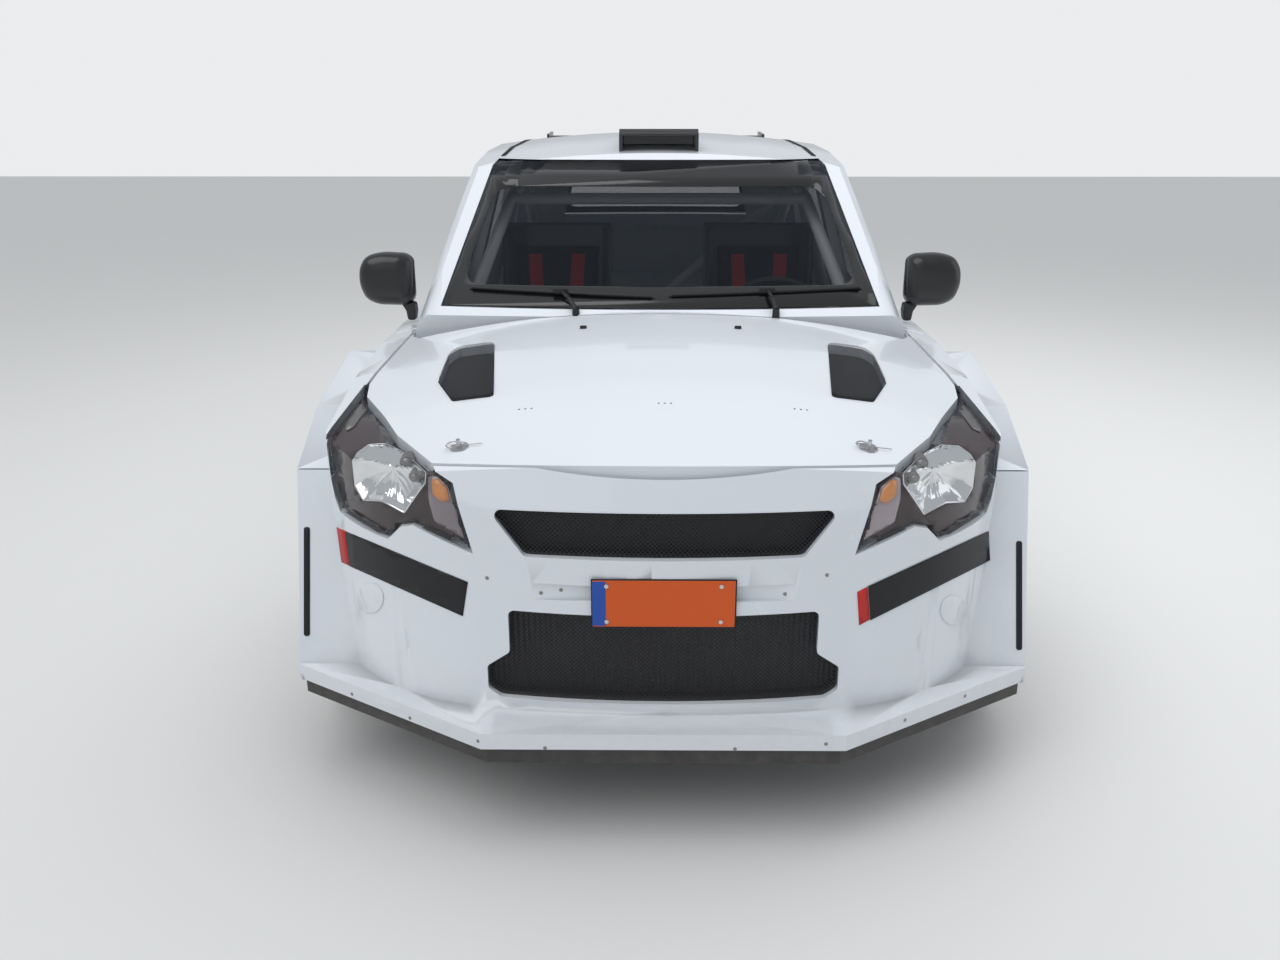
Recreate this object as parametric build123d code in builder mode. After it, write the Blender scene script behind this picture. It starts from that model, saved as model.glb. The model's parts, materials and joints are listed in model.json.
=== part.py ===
from build123d import *
import math
import os

os.makedirs("parts", exist_ok=True)

# Rally hatchback. Millimetres, nose towards -Y, left side at +X, ground at Z = 0,
# origin on the ground below the middle of the car.

# Driving dimensions
front_overhang = 795.0
wheelbase = 2480.0
rear_overhang = 565.0
track_half = 778.0  # car's middle to a tyre's middle
tyre_radius = 325.0
tyre_width = 222.0
rim_radius = 228.0
rim_width = 208.0
arch_radius = 374.0
skin = 26.0  # front wings and bonnet
bumper_wall = 42.0
door_lower_wall = 70.0
door_upper_wall = 40.0
flange_wall = 10.0  # outer flange of a door or lid, which overlaps the opening's edge
glass_depth = 4.0  # glass sits this far below the panel's surface
glass_wall = 5.0
shut_gap = 8.0  # between a panel that moves and its neighbour
bonnet_gap = 10.0
seam_gap = 3.0  # between two fixed panels
fit_gap = 0.3  # between two pieces that seat on each other
floor_bottom = 210.0
floor_top = 250.0
sill_bottom = 180.0
lip_bottom = 233.0
lip_top = 270.0
splitter_bottom = 195.0

length = front_overhang + wheelbase + rear_overhang
nose_y = -length / 2
front_axle = nose_y + front_overhang
rear_axle = front_axle + wheelbase
far = 1150.0  # cutting tools reach this far sideways
frame_wall = 38.0  # door frame inside the doors
swing_radius = 400.0  # room for the steered wheels
wheelhouse_x = 480.0


def back(distance):
    """Row y of a point this far behind the nose, for what is tied to the front axle."""
    return nose_y + distance


def tail(distance):
    """Row y of a point this far behind the rear axle."""
    return rear_axle + distance


door_front = back(1200)
door_split = back(2040)
sill_line = 290.0
door_corner_height = 885.0
rail_line = 1350.0

# Outer surfaces. Each is a profile turned about a far axis, which bows it the other way too.
nose_profile = [(96, 150), (66, 330), (66, 640), (80, 735), (112, 825), (210, 1080)]
nose_bow = 2480.0
tail_profile = [(545, 150), (565, 420), (552, 690), (500, 850), (425, 1080)]
tail_bow = 2100.0
side_profile = [(779, 150), (824, 420), (832, 650), (818, 850), (770, 1080)]
side_bow = 36000.0
side_middle = back(1990)
bonnet_profile = [(-60, 776), (110, 822), (430, 897), (760, 944), (1080, 972)]
belt_rear = (tail(700), 1022)
bonnet_bow = 3600.0
screen_profile = [(737, 750), (2051, 1600)]
screen_bow = 3600.0
pillar_profile = [(806, 750), (562, 1600)]
pillar_bow = 17000.0
pillar_middle = back(2440)
hatch_profile = [(490, 750), (104, 1600)]
hatch_bow = 2900.0
roof_profile = [(900, 1204), (1400, 1331), (1720, 1388), (2080, 1433), (2450, 1452), (2820, 1447)]
roof_rear = [(tail(-80), 1422), (tail(500), 1330)]
roof_bow = 4200.0
pillar_bevel = 22.0  # bevels of the cabin's upright corners
hatch_bevel = 75.0

# Plan outline of the lower body: brow and cheek from the front axle, haunch and rump from the rear
brow = (462, -668)
cheek = (775, -385)
waist_x = 832.0
haunch = (802, 320)
rump = (595, 525)
brow_share = 0.11  # bulge of the arcs, as a share of their chords
rump_share = 0.12


def bulged(start, end, share):
    """Middle point of an arc from start to end that bulges to its right by a share of its chord."""
    chord = Vector(*end) - Vector(*start)
    middle = (Vector(*start) + Vector(*end)) * 0.5 + Vector(chord.Y, -chord.X) * share
    return (middle.X, middle.Y)


def both(shape):
    """A left piece and its mirror image on the right."""
    with BuildPart() as pair:
        add(shape)
        add(mirror(shape, about=Plane.YZ, mode=Mode.PRIVATE))
    return pair.part


def joined(*shapes):
    """Several solids as one part."""
    with BuildPart() as whole:
        for shape in shapes:
            add(shape)
    return whole.part


def meet(first, *others):
    """What solids share."""
    with BuildPart() as shared:
        add(first)
        for other in others:
            add(other, mode=Mode.INTERSECT)
    return shared.part


def less(first, *others):
    """First with the others cut out of it."""
    with BuildPart() as left:
        add(first)
        for other in others:
            add(other, mode=Mode.SUBTRACT)
    return left.part


def prism(plane, points, depth, round_by=0.0, grow=0.0):
    """Prism on a plane from an outline of straight lines, its corners rounded, then grown all round."""
    with BuildPart() as made:
        with BuildSketch(plane) as shape:
            with BuildLine():
                Polyline(*points, close=True)
            make_face()
            if round_by:
                fillet(shape.vertices(), round_by)
            if grow:
                offset(amount=grow, kind=Kind.INTERSECTION)
        extrude(amount=depth)
    return made.part


def side_prism(points, x_from=450.0, x_to=far, **shaping):
    """Prism across the left side from a side-view outline of (y, z) points."""
    return prism(Plane.YZ.offset(x_from), points, x_to - x_from, **shaping)


def front_prism(points, y_from, y_to, **shaping):
    """Prism along the car from a front-view outline of (x, z) points."""
    return prism(Plane.XZ.offset(-y_from), points, y_from - y_to, **shaping)


def plan_prism(points, z_from, z_to, **shaping):
    """Upright prism from a plan outline of (x, y) points."""
    return prism(Plane.XY.offset(z_from), points, z_to - z_from, **shaping)


def block(x_from, x_to, y_from, y_to, z_from, z_to):
    """Box between two corners."""
    with BuildPart() as made:
        with Locations(((x_from + x_to) / 2, (y_from + y_to) / 2, (z_from + z_to) / 2)):
            Box(abs(x_to - x_from), abs(y_to - y_from), abs(z_to - z_from))
    return made.part


def rod(start, end, radius):
    """Round bar between two points."""
    run = Vector(*end) - Vector(*start)
    with BuildPart() as bar:
        with BuildSketch(Plane(origin=start, z_dir=run)):
            Circle(radius)
        extrude(amount=run.length)
    return bar.part


def crown_above(points, bow, inset):
    """All above a lengthwise line of (y, z) points, which bows down to both sides."""
    axis = Axis((0, 0, max(z for y, z in points) - bow), (0, 1, 0))
    reach = math.degrees(math.asin(1000 / bow))
    line = [(y, z - inset) for y, z in points]
    with BuildPart() as made:
        with BuildSketch(Plane.YZ):
            with BuildLine():
                Polyline(*line, (line[-1][0], 2200), (line[0][0], 2200), close=True)
            make_face()
        revolve(axis=axis, revolution_arc=2 * reach)
    return made.part.rotate(axis, -reach)


def wall_outside(points, bow, inset, towards, middle, reach):
    """All outside a wall of (distance, z) points that faces towards a side and bows in plan."""
    out = Vector(*towards, 0)
    origin = Vector(*middle, 0)
    widest = max(distance for distance, z in points)
    axis = Axis(origin + out * (widest - bow), (0, 0, 1))
    line = [(distance - inset, z) for distance, z in points]
    with BuildPart() as made:
        with BuildSketch(Plane(origin=origin, x_dir=out, z_dir=out.cross(Vector(0, 0, 1)))):
            with BuildLine():
                Polyline(*line, (widest + 500, line[-1][1]), (widest + 500, line[0][1]), close=True)
            make_face()
        revolve(axis=axis, revolution_arc=2 * reach)
    return made.part.rotate(axis, -reach)


def plan_outline(inset):
    """Plan of the lower body at its widest: eight arcs."""
    front_mid = (0, back(nose_profile[2][0]) + inset)
    front = (brow[0] - 0.4 * inset, front_axle + brow[1] + 0.9 * inset)
    front_side = (cheek[0] - inset, front_axle + cheek[1] + 0.3 * inset)
    rear_side = (haunch[0] - inset, rear_axle + haunch[1] - 0.3 * inset)
    rear = (rump[0] - 0.4 * inset, rear_axle + rump[1] - 0.9 * inset)
    rear_mid = (0, tail(tail_profile[1][0]) - inset)
    waist = (waist_x - inset, (front_side[1] + rear_side[1]) / 2)
    corner = bulged(front, front_side, brow_share)
    rear_corner = bulged(rear_side, rear, rump_share)
    with BuildSketch(Plane.XY.offset(sill_bottom)) as shape:
        with BuildLine():
            ThreePointArc((-front[0], front[1]), front_mid, front)
            for side in (1, -1):
                for points in (
                    (front, corner, front_side),
                    (front_side, waist, rear_side),
                    (rear_side, rear_corner, rear),
                ):
                    ThreePointArc(*[(side * x, y) for x, y in points])
            ThreePointArc((-rear[0], rear[1]), rear_mid, rear)
        make_face()
    return shape.sketch


def lower_form(wall, top):
    """Lower body up to the bonnet and belt, its walls moved in and its top moved down."""
    with BuildPart() as form:
        add(plan_outline(wall))
        extrude(amount=1070 - sill_bottom)
        nose = [(-back(distance), z) for distance, z in nose_profile]
        rear = [(tail(distance), z) for distance, z in tail_profile]
        add(wall_outside(nose, nose_bow, wall, (0, -1), (0, 0), 28), mode=Mode.SUBTRACT)
        add(wall_outside(rear, tail_bow, wall, (0, 1), (0, 0), 28), mode=Mode.SUBTRACT)
        for side in (1, -1):
            outside = wall_outside(side_profile, side_bow, wall, (side, 0), (0, side_middle), 3.6)
            add(outside, mode=Mode.SUBTRACT)
        line = [(back(distance), z) for distance, z in bonnet_profile] + [belt_rear]
        add(crown_above(line, bonnet_bow, top), mode=Mode.SUBTRACT)
    return form.part


def cabin_form(inset):
    """Cabin above the belt: screen, sides, rear and roof, moved in."""
    with BuildPart() as form:
        add(block(-900, 900, back(800), tail(560), 836, 1590))
        screen = [(-back(distance), z) for distance, z in screen_profile]
        hatch = [(tail(distance), z) for distance, z in hatch_profile]
        add(wall_outside(screen, screen_bow, inset, (0, -1), (0, 0), 26), mode=Mode.SUBTRACT)
        add(wall_outside(hatch, hatch_bow, inset, (0, 1), (0, 0), 26), mode=Mode.SUBTRACT)
        for side in (1, -1):
            outside = wall_outside(
                pillar_profile, pillar_bow, inset, (side, 0), (0, pillar_middle), 7
            )
            add(outside, mode=Mode.SUBTRACT)
        for rear, cut in ((False, pillar_bevel), (True, hatch_bevel)):
            corners = form.edges().filter_by(
                lambda edge: abs(edge.tangent_at(0.5).Z) > 0.2 and abs(edge.center().X) > 300
            )
            chamfer(corners.filter_by(lambda edge: (edge.center().Y > tail(-200)) == rear), cut)
        line = [(back(distance), z) for distance, z in roof_profile] + roof_rear
        add(crown_above(line, roof_bow, inset), mode=Mode.SUBTRACT)
    return form.part


def write(shape, name):
    """Labels a finished piece and writes it as one file."""
    shape.label = name
    export_step(shape, f"parts/{name}.step")


outer_lower = lower_form(0, 0)
outer_cabin = cabin_form(0)
outer = joined(outer_lower, outer_cabin)
flange_inside = joined(lower_form(flange_wall, flange_wall), cabin_form(flange_wall))
door_inside = joined(lower_form(door_lower_wall, door_upper_wall), cabin_form(door_upper_wall))
rebate_inside = joined(
    lower_form(door_lower_wall + fit_gap, door_upper_wall + fit_gap),
    cabin_form(door_upper_wall + fit_gap),
)
wall_inside = joined(
    lower_form(door_lower_wall + frame_wall, door_upper_wall + frame_wall),
    cabin_form(door_upper_wall + frame_wall),
)
skin_inside = lower_form(skin, skin)
bumper_inside = lower_form(bumper_wall, bumper_wall)
frame_inside = lower_form(bumper_wall + 1, skin + fit_gap)
glass_outside = joined(lower_form(glass_depth, glass_depth), cabin_form(glass_depth))
glass_inside = joined(
    lower_form(glass_depth + glass_wall, glass_depth + glass_wall),
    cabin_form(glass_depth + glass_wall),
)

# Shut lines as outlines, left side; the right side is mirrored
front_door_outline = [
    (door_front, sill_line),
    (door_front, door_corner_height),
    (back(1815), rail_line - 12),
    (door_split, rail_line),
    (door_split, sill_line),
]
rear_door_outline = [
    (door_split + shut_gap, sill_line),
    (door_split + shut_gap, rail_line),
    (back(2560), rail_line - 6),
    (tail(-440), 1300),
    (tail(-235), 1030),
    (tail(-300), 880),
    (tail(-402), 760),
    (tail(-420), sill_line),
]
rebate_set_back = 16.0  # inner part of a door or lid, behind its outer flange
rail_set_back = 6.0
front_door_inner = [
    (y - rebate_set_back if y == door_split else y, z) for y, z in front_door_outline
]
rear_door_inner = [
    (y - rebate_set_back if y > back(2600) else y, z - rail_set_back if z > 1290 else z) for y, z in rear_door_outline
]
front_window_outline = [
    (back(1345), 955),
    (back(1828), 1308),
    (back(1985), 1312),
    (back(1985), 965),
]
rear_window_outline = [
    (back(2095), 968),
    (back(2095), 1312),
    (back(2555), 1306),
    (tail(-478), 1262),
    (tail(-335), 1050),
    (tail(-360), 985),
]
front_door_hole = [
    (door_front + 45, sill_line + 25),
    (door_front + 45, 890),
    (back(1825), rail_line - 50),
    (door_split - 45, rail_line - 45),
    (door_split - 45, sill_line + 25),
]
rear_door_hole = [
    (door_split + 45, sill_line + 25),
    (door_split + 45, rail_line - 45),
    (back(2540), rail_line - 50),
    (tail(-490), 1270),
    (tail(-300), 1020),
    (tail(-430), 760),
    (tail(-450), sill_line + 25),
]
screen_outline = [(-640, 975), (-548, 1368), (548, 1368), (640, 975)]
gate_outline = [(-530, 672), (-560, 960), (-470, 1372), (470, 1372), (560, 960), (530, 672)]
gate_inner = [(-505, 690), (-530, 950), (-440, 1372), (440, 1372), (530, 950), (505, 690)]
gate_hole = [(-455, 740), (-480, 940), (-400, 1325), (400, 1325), (480, 940), (455, 740)]
gate_window = [(-480, 1050), (-425, 1318), (425, 1318), (480, 1050)]

bonnet_front = [(-485, back(184)), (0, back(112)), (485, back(184))]
bonnet_side = [(485, back(184)), (590, back(330)), (722, back(590)), (738, back(680)), (716, back(1120))]
bonnet_rear_middle = (0, back(1050))
lamp_outline = [
    (396, 630), (527, 678), (558, 668), (592, 631), (734, 640), (752, 662), (766, 700),
    (776, 785), (752, 852), (716, 852), (590, 840), (486, 806), (434, 778),
]


def bonnet_prism(grow):
    """Upright prism of the bonnet's plan, grown all round."""
    with BuildPart() as made:
        with BuildSketch(Plane.XY.offset(600)):
            with BuildLine():
                ThreePointArc(*bonnet_front)
                for side in (1, -1):
                    Polyline(*[(side * x, y) for x, y in bonnet_side])
                rear = bonnet_side[-1]
                ThreePointArc((-rear[0], rear[1]), bonnet_rear_middle, rear)
            make_face()
            if grow:
                offset(amount=grow, kind=Kind.INTERSECTION)
        extrude(amount=500)
    return made.part


def lathe(centre, points):
    """Solid of revolution about an axle through a centre; points are (sideways, radius)."""
    with BuildPart() as made:
        with BuildSketch(Plane(origin=centre, x_dir=(1, 0, 0), z_dir=(0, -1, 0))):
            with BuildLine():
                Polyline(*points, close=True)
            make_face()
        revolve(axis=Axis(centre, (1, 0, 0)))
    return made.part


def wheel_room(y, radius, x_from, x_to=far):
    """Room for a left wheel: a cylinder about its axle."""
    return rod((x_from, y, tyre_radius), (x_to, y, tyre_radius), radius)


bonnet_room = bonnet_prism(bonnet_gap)
lamp_room = less(front_prism(lamp_outline, back(-20), back(720)), bonnet_prism(bonnet_gap))
front_arches = both(joined(
    wheel_room(front_axle, arch_radius, 700), wheel_room(front_axle, swing_radius, wheelhouse_x, 785)
))
rear_strut_trim = less(
    block(500, far, tail(-300), tail(300), 480, 1000), wheel_room(rear_axle, arch_radius - fit_gap, 400)
)
rear_strut_trim = both(rear_strut_trim)
roof_end_y = tail(206)
print("forms")

# Bonnet, hinged at its rear corners, with two vents
vent_outline = [(442, back(850)), (536, back(850)), (556, back(800)), (548, back(600)), (488, back(457)),
                (391, back(457))]
vents = both(plan_prism(vent_outline, 700, 1100, round_by=12))
bonnet = less(meet(outer_lower, bonnet_prism(0)), skin_inside, vents, cabin_form(-seam_gap))
write(bonnet, "bonnet")
vent_middle = (470, back(650), 899)
vent_plane = Plane(origin=vent_middle, x_dir=(1, 0, -0.13), z_dir=(0.13, -0.13, 1))
with BuildPart() as vent_sheet:
    with BuildSketch(vent_plane):
        Rectangle(260, 480)
        with GridLocations(0, 72, 1, 5):
            Rectangle(112, 48, mode=Mode.SUBTRACT)
    extrude(amount=4)
vent_panel = meet(vent_sheet.part, plan_prism(vent_outline, 700, 1100, round_by=12, grow=-fit_gap))
vent_panels = both(vent_panel)
write(vent_panels, "bonnet_vents")
print("bonnet")

# Front wings with their flares
flare_wall = 12.0
flare_front_x = 853.0
flare_rear_x = 905.0
front_flare_outline = [
    (back(287), lip_bottom), (back(300), lip_top), (back(450), 705), (back(690), 798), (back(1116), 850),
    (back(1170), 760), (back(1192), 560), (back(1192), sill_bottom),
]
front_flare_plan = [
    (690, back(200)), (flare_front_x, back(200)), (flare_front_x, back(287)), (flare_rear_x, back(1116)),
    (flare_rear_x, back(1192)), (690, back(1192)),
]
flare_full = meet(
    side_prism(front_flare_outline, 690, 1000), plan_prism(front_flare_plan, sill_bottom - 10, 900)
)
flare_inner = meet(
    side_prism(front_flare_outline, 680, 1000, grow=-flare_wall),
    plan_prism(front_flare_plan, sill_bottom, 900, grow=-flare_wall),
)
seam_height = 705.0
wing_flare = less(flare_full, flare_inner, less(outer_lower, skin_inside), skin_inside)
rear_strip = block(600, far, back(795), back(1192), sill_bottom, 1100)
wing_zone = joined(
    meet(block(600, far, back(380), back(1192), seam_height, 1100), outer_lower), meet(rear_strip, outer_lower)
)
cowl_half = 700.0
cowl_room = block(0, cowl_half + 28, back(1100), back(1200), seam_height, 1100)
wing_skin = less(
    meet(outer_lower, wing_zone), skin_inside, bonnet_room, lamp_room, cowl_room, cabin_form(-seam_gap)
)
wing_flare = meet(wing_flare, joined(block(600, far, back(200), back(1192), seam_height, 1100), rear_strip))
wing = less(joined(wing_skin, wing_flare), front_arches, lamp_room, bonnet_room)
write(wing, "fender_left")
write(mirror(wing, about=Plane.YZ), "fender_right")
print("wings")

# Front bumper: grilles, channel, lip and corner pods
upper_grille_outline = [(-361, 732), (-288, 634), (288, 634), (361, 732)]
lower_grille_outline = [
    (-327, 509), (-327, 410), (-378, 372), (-378, 318), (-350, 300), (350, 300), (378, 318), (378, 372),
    (327, 410), (327, 509),
]
channel_outline = [(-311, 539), (311, 539), (311, 576), (-311, 576)]
channel_depth = 18.0
lip_plan = [
    (-383, nose_y), (383, nose_y), (flare_front_x + 2, back(295)), (flare_front_x + 2, back(400)),
    (600, back(330)), (-600, back(330)), (-flare_front_x - 2, back(400)), (-flare_front_x - 2, back(295)),
]
upper_opening = front_prism(upper_grille_outline, back(0), back(200), round_by=14)
lower_opening = front_prism(lower_grille_outline, back(0), back(200), round_by=14)
bumper_zone = joined(
    block(-far, far, back(-50), back(560), lip_bottom, seam_height - seam_gap),
    block(-520, 520, back(-50), back(300), 600, 1000),
)
bumper_flare = meet(
    less(flare_full, flare_inner, skin_inside),
    block(600, far, back(200), back(795), lip_bottom, seam_height - seam_gap),
)
channel = front_prism(channel_outline, back(0), back(69 + channel_depth), round_by=10)
bumper_skin = less(meet(outer_lower, bumper_zone), bumper_inside)
lip = less(plan_prism(lip_plan, lip_bottom, lip_top), bumper_inside)
fog_recess = rod((610, back(90), 400), (610, back(175), 400), 52)
bumper = less(
    joined(bumper_skin, lip, both(bumper_flare)),
    upper_opening, lower_opening, channel, both(fog_recess), front_arches, both(lamp_room), bonnet_room,
)
write(bumper, "front_bumper")

splitter_plan = [
    (-373, back(10)), (373, back(10)), (flare_front_x - 9, back(300)), (flare_front_x - 9, back(420)),
    (560, back(420)), (470, back(640)), (-470, back(640)), (-560, back(420)), (-flare_front_x + 9, back(420)),
    (-flare_front_x + 9, back(300)),
]
splitter = less(plan_prism(splitter_plan, splitter_bottom, lip_bottom), front_arches)
write(splitter, "splitter")

# Grilles, slatted panels set inside the bumper's openings
grille_depth = 26.0
grille_wall = 5.0


def grille(outline, rows, columns, pitch_x, pitch_z, middle_z):
    """Slatted panel that fills an opening, flat, set back from the bumper's face."""
    face_y = back(66) + grille_depth
    with BuildPart() as panel:
        with BuildSketch(Plane.XZ.offset(-face_y)) as shape:
            with BuildLine():
                Polyline(*outline, close=True)
            make_face()
            fillet(shape.vertices(), 14)
            offset(amount=-fit_gap, kind=Kind.INTERSECTION)
            frame = offset(shape.face(), amount=-12, kind=Kind.INTERSECTION, mode=Mode.PRIVATE)
        extrude(amount=-grille_wall)
        with BuildSketch(Plane.XZ.offset(-face_y)):
            with Locations((0, middle_z)):
                with GridLocations(pitch_x, pitch_z, columns, rows):
                    Rectangle(pitch_x - 7, pitch_z - 7)
            add(frame, mode=Mode.INTERSECT)
        extrude(amount=-grille_wall, mode=Mode.SUBTRACT)
    return panel.part


grilles = joined(
    grille(upper_grille_outline, 2, 4, 170, 44, 683), grille(lower_grille_outline, 5, 4, 175, 40, 404)
)
write(grilles, "grilles")
print("bumper")

# Headlamps: housing with a round reflector, and a clear lens
lamp_middle = (612, back(262), 742)
lamp_fit = less(front_prism(lamp_outline, back(-20), back(640), grow=-seam_gap), bonnet_room)
lamp_hollow = front_prism(
    [(470, 700), (580, 690), (735, 655), (750, 690), (752, 780), (600, 780), (480, 762)], back(0), back(380)
)
lamp_body = less(meet(lamp_fit, glass_inside, block(0, far, back(0), back(420), 0, 1000)), lamp_hollow)
lamp_foot = meet(
    front_prism(lamp_outline, back(-20), back(400), grow=-fit_gap), glass_inside,
    block(620, 700, back(0), back(400), 600, 660),
)
with BuildPart() as reflector:
    with BuildSketch(Plane(origin=lamp_middle, x_dir=(1, 0, 0), z_dir=(0, 0, 1))):
        with BuildLine():
            Polyline((0, 130), (30, 130), (62, 0), (54, 0), (26, 100), (0, 100), close=True)
        make_face()
    revolve(axis=Axis(lamp_middle, (0, 1, 0)))
lamp_housings = both(joined(lamp_body, lamp_foot, meet(reflector.part, glass_inside)))
write(lamp_housings, "headlamp_housings")
lenses = both(less(meet(lamp_fit, glass_outside), glass_inside))
write(lenses, "headlamp_lenses")
print("lamps")

# Glass
screen = less(meet(glass_outside, front_prism(screen_outline, back(800), back(1990))), glass_inside)
write(screen, "windscreen")
screen_hole = front_prism(screen_outline, back(800), back(1990))
gate_window_hole = front_prism(gate_window, tail(100), tail(600))
gate_glass = less(meet(glass_outside, gate_window_hole), glass_inside)
write(gate_glass, "tailgate_glass")
print("glass")

# Doors, left ones mirrored to the right
left_side = block(430, far, back(1150), tail(-150), sill_bottom, 1500)
leaf_wall = less(meet(outer, left_side), flange_inside)
core_wall = less(meet(flange_inside, left_side), door_inside)
glass_sheet = less(meet(glass_outside, left_side), glass_inside)
doors = (
    ("front", front_door_outline, front_door_inner, front_window_outline, back(1920)),
    ("rear", rear_door_outline, rear_door_inner, rear_window_outline, back(2700)),
)
rear_flare_outline = [
    (tail(-400), sill_bottom), (tail(-400), 600), (tail(-352), 770), (tail(-250), 850), (tail(90), 842),
    (tail(330), 760), (tail(440), 620), (tail(470), 420), (tail(470), 330),
]
rear_flare_plan = [
    (690, tail(-400)), (flare_rear_x - 8, tail(-400)), (flare_rear_x, tail(-250)), (flare_rear_x, tail(60)),
    (flare_rear_x - 35, tail(480)), (690, tail(480)),
]
for name, outline, inner, window, handle_y in doors:
    leaf = meet(leaf_wall, side_prism(outline))
    core = meet(core_wall, side_prism(inner))
    door = less(joined(leaf, core), side_prism(window))
    print(name, [round(solid.volume) for solid in door.solids()])
    pane = meet(glass_sheet, side_prism(window))
    for side in ("left", "right"):
        for shape, label in ((door, f"door_{name}_{side}"), (pane, f"door_glass_{name}_{side}")):
            write(shape if side == "left" else mirror(shape, about=Plane.YZ), label)
print("doors")

# Body shell: roof, pillars, rear quarters, floor, sills, firewall and front structure.
# The left half is made first, then mirrored.
left_half = block(0, far, back(-50), tail(700), 0, 1600)
gate_room = joined(
    less(front_prism(gate_outline, tail(60), tail(700), grow=shut_gap), rebate_inside),
    front_prism(gate_hole, tail(60), tail(700)),
)
rear_seam = 665.0
tail_lamp_outline = [(578, 700), (700, 700), (790, 735), (790, 860), (700, 935), (590, 915)]


def tail_lamp_room(grow):
    """Prism of the left tail lamp, grown all round."""
    return front_prism(tail_lamp_outline, tail(150), tail(700), grow=grow)


front_zone = less(
    block(-far, far, back(-200), back(1197), 0, 1100),
    block(-cowl_half, cowl_half, back(1010), back(1200), 720, 1100),
)
bumper_room = block(-far, far, tail(380), tail(700), 0, rear_seam)
rear_arch = wheel_room(rear_axle, arch_radius, wheelhouse_x + 60)
lamp_bay = less(tail_lamp_room(0), skin_inside)
shell = meet(joined(less(outer_lower, front_zone), outer_cabin), left_half)
for outline, hole in ((front_door_outline, front_door_hole), (rear_door_outline, rear_door_hole)):
    shell = less(shell, side_prism(hole, x_from=400))
    shell = less(shell, less(side_prism(outline, x_from=400, grow=shut_gap), rebate_inside))
shell = less(shell, gate_room)
shell = less(shell, bumper_room, rear_arch)
shell = less(shell, lamp_bay)
shell = less(shell, bonnet_room, screen_hole)
shell = less(shell, wall_inside)
rear_flare_full = meet(
    side_prism(rear_flare_outline, 690, 1000), plan_prism(rear_flare_plan, sill_bottom - 10, 900)
)
rear_flare = less(
    rear_flare_full,
    meet(
        side_prism(rear_flare_outline, 680, 1000, grow=-flare_wall),
        plan_prism(rear_flare_plan, sill_bottom, 900, grow=-flare_wall),
    ),
    lower_form(20, 20),
)
rear_house = less(
    wheel_room(rear_axle, arch_radius + 12, wheelhouse_x + 48, 760),
    wheel_room(rear_axle, arch_radius, wheelhouse_x + 60),
    block(0, far, tail(-500), tail(500), -200, floor_bottom),
    block(0, wheelhouse_x + 62, tail(-500), tail(500), 0, 430),
)
quarter = joined(
    less(rear_flare, bumper_room, rear_arch, lamp_bay),
    meet(less(rear_house, bumper_room), outer_lower),
    rod((750, back(1370), 172), (750, back(1370), 190), 34),
    rod((750, tail(-500), 172), (750, tail(-500), 190), 34),
)
shell = joined(shell, quarter)

floor_edge = 735.0
floor = joined(
    block(0, floor_edge, back(1010), tail(-400), floor_bottom, floor_top),
    block(0, floor_edge, tail(-425), tail(-395), floor_bottom, 460),
    block(0, 534, tail(-400), tail(480), 430, 460),
)
tunnel_room = block(-120, 120, back(1005), tail(-390), 0, floor_top + 100)
tunnel = block(0, 150, back(1010), tail(-396), floor_bottom, floor_top + 130)
firewall = block(0, 700, back(1010), back(1040), floor_bottom, 930)
house_wall = meet(
    joined(
        less(
            wheel_room(front_axle, swing_radius + 12, wheelhouse_x - 12, 720),
            wheel_room(front_axle, swing_radius, wheelhouse_x),
        ),
        meet(
            wheel_room(front_axle, swing_radius + 200, wheelhouse_x - 12, wheelhouse_x),
            block(0, far, back(1000), back(1240), 0, 800),
        ),
    ),
    block(0, far, back(1010), back(1240), floor_bottom, 735),
)
inner_panels = less(
    joined(floor, tunnel, firewall), tunnel_room, wheel_room(front_axle, swing_radius, wheelhouse_x)
)
inner_panels = meet(joined(inner_panels, house_wall), frame_inside)
rails = joined(
    block(380, 460, back(170), back(1012), 500, 590),
    block(380, 460, tail(-400), tail(465), 380, 440),
    block(380, 400, rear_axle - 50, rear_axle + 50, 230, 385),
    block(455, 482, front_axle - 90, front_axle + 90, 500, 800),
    block(455, 690, front_axle - 75, front_axle + 75, 792, 806),
    block(360, 420, front_axle - 60, front_axle + 60, 230, 505),
    block(400, 460, back(215), back(245), 560, 600),
)
shaft_rooms = joined(
    *[rod((300, y, tyre_radius), (450, y, tyre_radius), 32) for y in (front_axle, rear_axle)]
)
beams = meet(
    joined(
        block(0, 560, back(60), back(175), 520, 600),
        block(0, 600, tail(400), tail(600), 380, 470),
        rod((435, back(230), 590), (435, back(230), 900), 9),
    ),
    frame_inside,
)
frame = joined(inner_panels, less(rails, shaft_rooms), beams)
shell = joined(shell, frame)
body_shell = both(shell)
write(body_shell, "body_shell")

# Tailgate with its wing
gate_front = front_prism(gate_outline, tail(60), tail(700))
gate_top_edge = [(0, 204), (100, 202), (200, 198), (250, 188), (300, 166), (350, 142), (400, 114), (430, 94),
                 (450, 80), (480, 58), (600, 30)]
under_roof = plan_prism(
    [(x, tail(d)) for x, d in gate_top_edge] + [(600, tail(-40)), (-600, tail(-40))]
    + [(-x, tail(d)) for x, d in reversed(gate_top_edge[1:])], 1000, 1500,
)
gate = less(
    joined(
        less(meet(outer, gate_front), flange_inside),
        less(meet(flange_inside, front_prism(gate_inner, tail(60), tail(700))), door_inside),
    ),
    gate_window_hole, under_roof,
)
write(gate, "tailgate")
wing_chord = 216.0
wing_section = [(0, 0), (60, 18), (130, 22), (206, 12), (wing_chord, 20), (130, 36), (50, 34)]
wing_y = roof_end_y + 66
wing_z = 1394.0
wing_half = 540.0
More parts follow.
